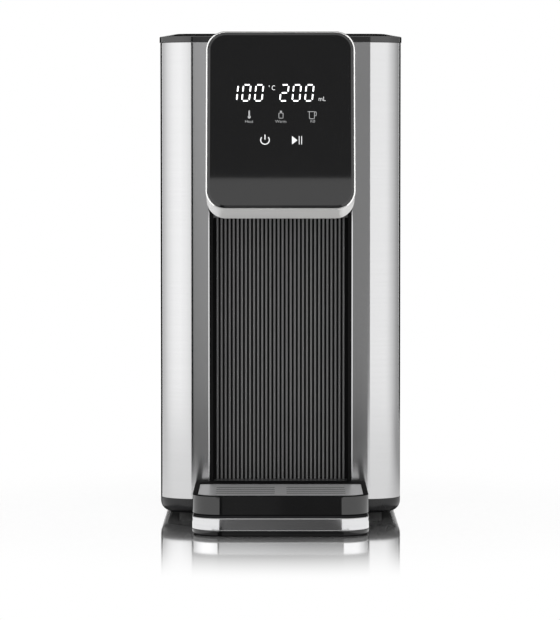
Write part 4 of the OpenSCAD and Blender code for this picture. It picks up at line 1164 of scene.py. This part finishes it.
# Tank
# A clear smoky tub hung behind the housing, open at the top, with two lugs for the lid's pin.
# It is moulded in a tough clear plastic and lifts straight up off its socket.
tank_low = Vector((-0.089, 0.066, 0.0199))
tank_high = Vector((0.089, 0.152, 0.3556))
tank_middle = (tank_low + tank_high) / 2
tank_rear_corner = 0.023
tank_front_corner = 0.006
tank_wall = 0.0024
lug_places = (-0.045, 0.045)
lug_half = 0.0037
lug_root = 0.004
tank_shades = (0.30, 0.31, 0.32, 1), (0.34, 0.35, 0.36, 1)
tank_clear = {"Transmission Weight": 0.9, "IOR": 1.5}
moulded("tank_smoke", tank_shades, 0.05, 0.09, 200, 2e-6, tank_clear)
form = block(tank_low, tank_high)
rear = [edge for edge in edges_along(form, 2) if edge.verts[0].co.y > tank_middle.y]
round_over(form, rear, tank_rear_corner, steps=24)
front = [edge for edge in edges_along(form, 2) if edge.verts[0].co.y < tank_middle.y]
round_over(form, front, tank_front_corner, steps=10)
lid_face = face_looking(form, Vector((0, 0, 1)))
bmesh.ops.delete(form, geom=[lid_face], context="FACES_ONLY")
make_piece("tank_tub", form, "tank_smoke", "water_tank", ["tank"], wall=tank_wall, soften=0.0006)
form = bmesh.new()
for place in lug_places:
    low = Vector((place - lug_half, hinge_y - knuckle_radius, tank_high.z - lug_root))
    high = Vector((place + lug_half, hinge_y + knuckle_radius, hinge_z))
    add_form(form, block(low, high))
    add_form(form, rod(place - lug_half, place + lug_half, hinge_y, hinge_z, knuckle_radius))
make_piece("tank_lugs", form, "tank_smoke", "water_tank", [], soften=0.0003)

# Inside works and small parts
# Pump, heater, boards, hoses, valve, float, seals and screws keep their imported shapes.
# Each takes the finish of its own material: moulded plastics, rubbers, pressed steels and a green board.
plain_plastics = {
    "head_black": (((0.010, 0.010, 0.0105, 1), (0.014, 0.014, 0.0145, 1)), 0.25, 0.35, 1200, 4e-6),
    "chassis_grey": (((0.16, 0.165, 0.17, 1), (0.19, 0.195, 0.20, 1)), 0.42, 0.55, 1500, 8e-6),
    "handle_black": (((0.016, 0.016, 0.017, 1), (0.022, 0.022, 0.023, 1)), 0.38, 0.50, 1600, 8e-6),
    "foot_rubber": (((0.020, 0.020, 0.020, 1), (0.030, 0.030, 0.030, 1)), 0.65, 0.80, 1900, 1.2e-5),
    "seal_rubber": (((0.30, 0.10, 0.07, 1), (0.36, 0.13, 0.09, 1)), 0.50, 0.62, 1400, 6e-6),
    "part_grey": (((0.22, 0.23, 0.24, 1), (0.30, 0.31, 0.32, 1)), 0.40, 0.52, 1200, 6e-6),
    "white_plastic": (((0.70, 0.70, 0.68, 1), (0.77, 0.77, 0.75, 1)), 0.32, 0.42, 1400, 6e-6),
    "board_green": (((0.02, 0.14, 0.07, 1), (0.03, 0.19, 0.10, 1)), 0.30, 0.42, 700, 6e-6),
}
for slot, values in plain_plastics.items():
    moulded(slot, *values)
hose_shades = (0.62, 0.63, 0.62, 1), (0.72, 0.73, 0.72, 1)
hose_milky = {"Subsurface Weight": 0.15, "Subsurface Radius": (0.002, 0.002, 0.002)}
moulded("hose_silicone", hose_shades, 0.30, 0.42, 600, 6e-6, hose_milky)
plain_metals = {
    "screw_steel": (((0.52, 0.52, 0.52, 1), (0.62, 0.62, 0.62, 1)), 0.22, 0.34, (400, 400, 1500), 2e-6),
    "motor_steel": (((0.50, 0.50, 0.49, 1), (0.60, 0.60, 0.59, 1)), 0.28, 0.40, (1500, 60, 60), 2e-6),
    "heater_alloy": (((0.55, 0.55, 0.54, 1), (0.66, 0.66, 0.65, 1)), 0.40, 0.55, (500, 500, 500), 8e-6),
    "tube_steel": (((0.60, 0.60, 0.60, 1), (0.68, 0.68, 0.68, 1)), 0.16, 0.26, (900, 900, 60), 1e-6),
}
for slot, values in plain_metals.items():
    metal(slot, *values)
screw_shades = (0.03, 0.03, 0.03, 1), (0.05, 0.05, 0.05, 1)
screw_black = metal("screw_black", screw_shades, 0.4, 0.5, (400, 400, 900), 2e-6)
own_finish = {"base_screws": screw_black, "rear_cover_screws": screw_black, "tray_deck": base_matt}
for row in frame["record"]["subparts"]:
    node = frame["nodes"][row["node"]]
    for place in node.material_slots:
        place.material = own_finish.get(row["node"], finishes[row["material_slot"]])

# Valve spring
# A small steel coil in the foot of the tank, between the filter and the valve that it presses down.
# It is wound from round wire and stays on the tank.
form = merged("valve_spring")
spring = make_piece("valve_spring_coil", form, "screw_steel", "water_tank", ["valve_spring"], crease=75)
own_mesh(spring)

# Size
# The box of the dressed model is kept beside the imported one.
dressed_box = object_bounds()
sizes = {
    "cad": [list(corner) for corner in cad_box],
    "dressed": [list(corner) for corner in dressed_box],
}
